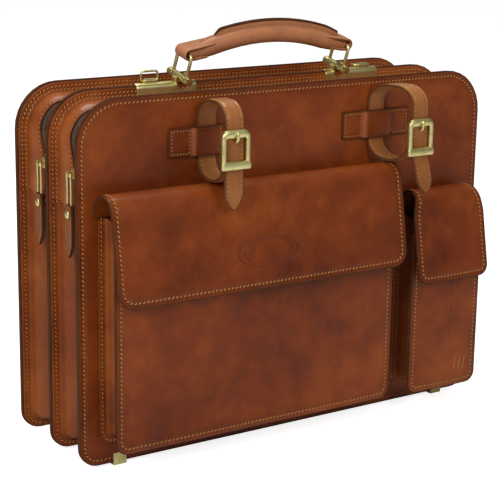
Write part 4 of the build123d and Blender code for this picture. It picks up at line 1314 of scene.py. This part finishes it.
# Handle hardware: folded brass brackets clasp the centre board. In each a cross barrel turns
# on a pin and carries a wire ring for the handle; a small ring for a shoulder strap stands in
# a tube on the bracket.
SWIVEL = Vector((81.0, CENTRE_Y, 304.6))
SMALL_RING = Vector((110.0, CENTRE_Y, 302.8))
for name, side in (("left", -1), ("right", 1)):
    eased(f"{name}_handle_barrel", 0.5, brass)
    verts, faces, stations = [], [], []
    clasp_tops = ((67.0, 0.6), (67.4, 0.2), (68.2, 0.0), (76.2, 0.0), (76.5, 0.1), (76.55, 6.2),
                  (85.45, 6.2), (85.5, 0.1), (85.8, 0.0), (122.8, 0.0), (123.6, 0.2), (124.0, 0.6))
    for x, top in clasp_tops:
        ring = []
        for k in range(21):
            a = math.pi * k / 20
            y, z = 4.6 * math.cos(a), 297.0 + 4.6 * math.sin(a)
            z = min(z, 301.6 - top) if top > 5 else z - top * 0.4
            ring.append((y * (1 - 0.04 * min(top, 1)), z))
        ring = [(4.6, 291.0)] + ring + [(-4.6, 291.0), (-3.6, 291.0)]
        inner = [(-3.6, 297.0), (-2.6, 299.0), (-2.3, 300.2), (2.3, 300.2), (2.6, 299.0), (3.6, 297.0)]
        ring += [(y, min(z, 301.0 - top)) for y, z in inner] + [(3.6, 291.0)]
        stations.append([Vector((side * x, CENTRE_Y + y, z)) for y, z in ring])
    size = len(stations[0])
    for row in range(len(stations) - 1):
        for k in range(size):
            a, b = row * size + k, row * size + (k + 1) % size
            faces.append((a, b, b + size, a + size))
    faces += [tuple(range(size)), tuple((len(stations) - 1) * size + k for k in range(size))]
    clasp = solid_mesh(f"{name}_clasp", [p for ring in stations for p in ring], faces, "divider", (brass,),
                       sharp=30)
    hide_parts(f"{name}_bracket")
    tube = turned(f"{name}_ring_tube", (side * SMALL_RING.x - 5.4, SMALL_RING.y, SMALL_RING.z), (1, 0, 0),
                  [(0, 1.1), (0, 1.9), (0.4, 2.3), (10.4, 2.3), (10.8, 1.9), (10.8, 1.1)], "divider", brass)
    for ear_x in (side * SWIVEL.x - 5.4, side * SWIVEL.x + 5.4):
        ear_rim = lambda inset: rounded(-3.2, 3.2, -5.6, 3.2, (0.4, 0.4, 3.2, 3.2), inset, (3, 3))
        ear = panel(f"{name}_ear_{'outer' if abs(ear_x) > SWIVEL.x else 'inner'}", ear_rim,
                    lambda u, v: (Vector((ear_x - 1.0, SWIVEL.y + u, SWIVEL.z + v)), Vector((-1, 0, 0))),
                    2.0, 0, (1.5,), "divider", (brass, brass))
eased("swivel_pins", 0.2, brass)

TILT = math.radians(12.0)
LEAN = math.radians(8.0)


def from_swivels(x, y, z):
    """A point of the tilted handle, measured from the swivels' common axis."""
    return Vector((x, SWIVEL.y + y * math.cos(TILT) - z * math.sin(TILT),
                   SWIVEL.z + y * math.sin(TILT) + z * math.cos(TILT)))


def ring_point(side, y, z):
    """A point of a handle ring, which leans sideways with the handle."""
    return from_swivels(side * SWIVEL.x + z * math.sin(LEAN), y, z * math.cos(LEAN))


for name, side in (("left", -1), ("right", 1)):
    half = [(-10.5, z) for z in (2.6, 7.0, 12.0, 16.0)]
    half += [(-10.5 + 3.4 * (1 - math.cos(math.pi * k / 12)), 17.6 + 3.4 * math.sin(math.pi * k / 12))
             for k in range(7)] + [(-4.0, 21.0), (0.0, 21.0)]
    outline_points = half + [(-y, z) for y, z in reversed(half[:-1])]
    bow_path = [ring_point(side, y, z) for y, z in outline_points]
    bow = wire(f"{name}_bow", bow_path, 1.5, f"{name}_ring", brass)
    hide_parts(f"{name}_handle_ring")
    for end in (-1, 1):
        start = ring_point(side, end * 10.5, 0) - Vector((0, math.cos(TILT), math.sin(TILT))) * 1.4
        eyelet = turned(f"{name}_bow_eye_{'front' if end < 0 else 'back'}", start,
                        (0, math.cos(TILT), math.sin(TILT)),
                        [(0, 1.85), (0, 2.8), (0.4, 3.2), (2.4, 3.2), (2.8, 2.8), (2.8, 1.85)],
                        f"{name}_ring", brass)
    loop, turn_by = [], (0 if side < 0 else -math.pi / 2)
    for u, v in rounded(-7.75, 7.75, 0.0, 8.0, (2.2,) * 4, 0.0, (8, 2)):
        y, z = -v * math.sin(turn_by), v * math.cos(turn_by)
        loop.append(Vector((side * SMALL_RING.x + u, SMALL_RING.y + y, SMALL_RING.z + z)))
    small = wire(f"{name}_small_ring", loop, 1.0, f"{name}_strap_ring", brass, True, 10)
    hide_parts(f"{name}_strap_ring")


# Handle: cover leather rolled round a rope core and stitched below a pinched fin along the
# top. At each end the leather narrows to a flat tab folded round the ring and sewn down.
handle_hide = leather("handle_hide", (0.30, 0.11, 0.042), (0.50, 0.19, 0.08), (0.66, 0.30, 0.14), 0.42, 1.3)
RING_HEIGHT = 21.0
GRIP_HALF = 68.0


def grip_line(x):
    """Height of the grip's middle along its arch."""
    return 0.5 + 12.0 * (1 - (x / GRIP_HALF) ** 2)


def from_handle(x, y, z):
    """A point of the handle, measured from the middle between the two ring bars."""
    return from_swivels(x + RING_HEIGHT * math.sin(LEAN), y, RING_HEIGHT * math.cos(LEAN) + z)


def grip_section(x):
    """Radius of the grip at x and the height of the fin pinched up along its top."""
    t = min(1, max(0, (GRIP_HALF + 13 - abs(x)) / 26))
    body = 6.3 + 2.7 * t * t * (3 - 2 * t)
    left = min(1, max(0, (x + 55) / 9))
    right = min(1, max(0, (73 - x) / 2))
    return body, 5.6 * left * left * (3 - 2 * left) * right


verts, faces, slots, rim_and_shade_field, pale_and_highlight_field = [], [], [], [], []
stations = [-80 + 160 * k / 128 for k in range(129)]
ROUND = 32
FIN = ((1.7, 0.1), (1.35, 0.35), (1.3, 0.62), (1.3, 0.66), (1.25, 0.93), (0.8, 1.0))
for x in stations:
    body, fin = grip_section(x)
    inner = max(-GRIP_HALF, min(GRIP_HALF, x))
    slope = -24.0 * inner / GRIP_HALF ** 2 * (1 if abs(x) < GRIP_HALF else 0.6)
    z0 = grip_line(inner) - (abs(x) - abs(inner)) * 0.12
    across = Vector((-slope, 0, 1)).normalized()
    lump = 0.18 * math.sin(x * 0.31) + 0.12 * math.sin(x * 0.83 + 1.0)
    crown = body * 0.86
    ring = []
    for k in range(ROUND + 1):
        a = math.radians(101 + 338 * k / ROUND)
        side, up = math.cos(a), math.sin(a)
        wide = body * side + math.copysign(lump, side) * abs(side)
        # Darker underneath: painted shade. Also darker beside the fin. Paler over the upper half: painted
        # highlight.
        ring.append((wide, crown * up, 0.75 if up < -0.7 else max(0.0, (up - 0.7) * 1.6), 0.35 * max(0, up)))
    for wide, rise in FIN:
        ring.append((wide, crown + fin * rise - 0.3, 0.2, 0.1))
    for wide, rise in reversed(FIN):
        ring.append((-wide, crown + fin * rise - 0.3, 0.2, 0.1))
    for wide, tall, dark_tone_and_shade, light in ring:
        p = across * tall
        verts.append(from_handle(x + p.x, wide, z0 + p.z))
        rim_and_shade_field.append(dark_tone_and_shade)
        pale_and_highlight_field.append(light)
SIDES = len(ring)
for row in range(len(stations) - 1):
    painted = grip_section(stations[row])[1] > 1.0
    for k in range(SIDES):
        a, b = row * SIDES + k, row * SIDES + (k + 1) % SIDES
        faces.append((a, b, b + SIDES, a + SIDES))
        slots.append(1 if painted and ROUND + 4 <= k <= SIDES - 5 else 0)
faces += [tuple(range(SIDES)), tuple((len(stations) - 1) * SIDES + k for k in range(SIDES))]
slots += [0, 0]
grip = solid_mesh("grip", verts, faces, "handle", (handle_hide, edge), slots,
                  {"rim": rim_and_shade_field, "stretch": pale_and_highlight_field}, 50)
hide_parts("handle_grip")
for face_side in (-1, 1):
    row = []
    for k in range(60):
        x = -48 + 118 * k / 59
        slope = Vector((24.0 * x / GRIP_HALF ** 2, 0, 1)).normalized()
        p = slope * (grip_section(x)[0] * 0.86 + 1.6)
        row.append((from_handle(x + p.x, face_side * 1.35, grip_line(x) + p.z), Vector((0, face_side, 0))))
    sew(f"grip_thread_{'front' if face_side < 0 else 'back'}", row, "handle", False, 3.2, 2.5, 0.85)

for name, side in (("left", -1), ("right", 1)):
    loop_view = []
    for k in range(15):
        a = math.pi / 2 + math.pi * k / 14
        loop_view.append((5.4 * math.cos(a), 5.4 * math.sin(a)))
    over = [(30.0, 10.2), (24.0, 9.2), (18.0, 8.3), (12.0, 7.4), (6.0, 6.3)]
    profile = over + loop_view + [(6.0, -5.2), (12.0, -4.2), (17.0, -3.6)]
    verts, faces, rim_and_shade_field, pale_and_highlight_field, slots = [], [], [], [], []
    widths = (-8.6, -8.2, -7.4, -3.0, 0.0, 3.0, 7.4, 8.2, 8.6)
    lifts = (-0.9, -0.2, 0.0, 0.0, 0.0, 0.0, 0.0, -0.2, -0.9)
    loops_of = []
    for k, (u, w) in enumerate(profile):
        before, after = profile[max(k - 1, 0)], profile[min(k + 1, len(profile) - 1)]
        du, dw = after[0] - before[0], after[1] - before[1]
        size = math.hypot(du, dw)
        nu, nw = -dw / size, du / size
        nu, nw = -nu, -nw
        narrow = 1.0 - 0.12 * max(0, (u - 10) / 20)
        ring = []
        for width, lift in zip(widths, lifts):
            ring.append((u + nu * lift, width * narrow, w + nw * lift))
        for width, lift in zip(reversed(widths), reversed(lifts)):
            ring.append((u - nu * (2.0 + lift * 0.6), width * narrow, w - nw * (2.0 + lift * 0.6)))
        loops_of.append(ring)
    ring_size = len(loops_of[0])
    for ring in loops_of:
        for m, (u, y, w) in enumerate(ring):
            verts.append(from_handle(side * (SWIVEL.x - u), y, w))
            rim_and_shade_field.append(0.6 if m in (0, 8, 9, 17) else 0.15)
            pale_and_highlight_field.append(0.45)
    for row in range(len(loops_of) - 1):
        for m in range(ring_size):
            a, b = row * ring_size + m, row * ring_size + (m + 1) % ring_size
            faces.append((a, b, b + ring_size, a + ring_size))
            slots.append(1 if m in (8, 17) else 0)
    faces += [tuple(range(ring_size)), tuple((len(loops_of) - 1) * ring_size + m for m in range(ring_size))]
    slots += [0, 0]
    tab = solid_mesh(f"{name}_tab", verts, faces, "handle", (handle_hide, edge), slots,
                     {"rim": rim_and_shade_field, "stretch": pale_and_highlight_field})
    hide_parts(f"{name}_handle_tab")
    for face_side in (-1, 1):
        row = [(from_handle(side * (SWIVEL.x - u), face_side * 6.4, w + 0.05), Vector((0, 0, 1)))
               for u, w in over]
        sew(f"{name}_tab_thread_{'front' if face_side < 0 else 'back'}", row, "handle", False, 3.4, 2.5, 0.8)


# Feet: two short brass clips are pinched over the lower edge of the front and rear boards.
for name in ("front_feet", "rear_feet"):
    eased(name, 0.35, brass)
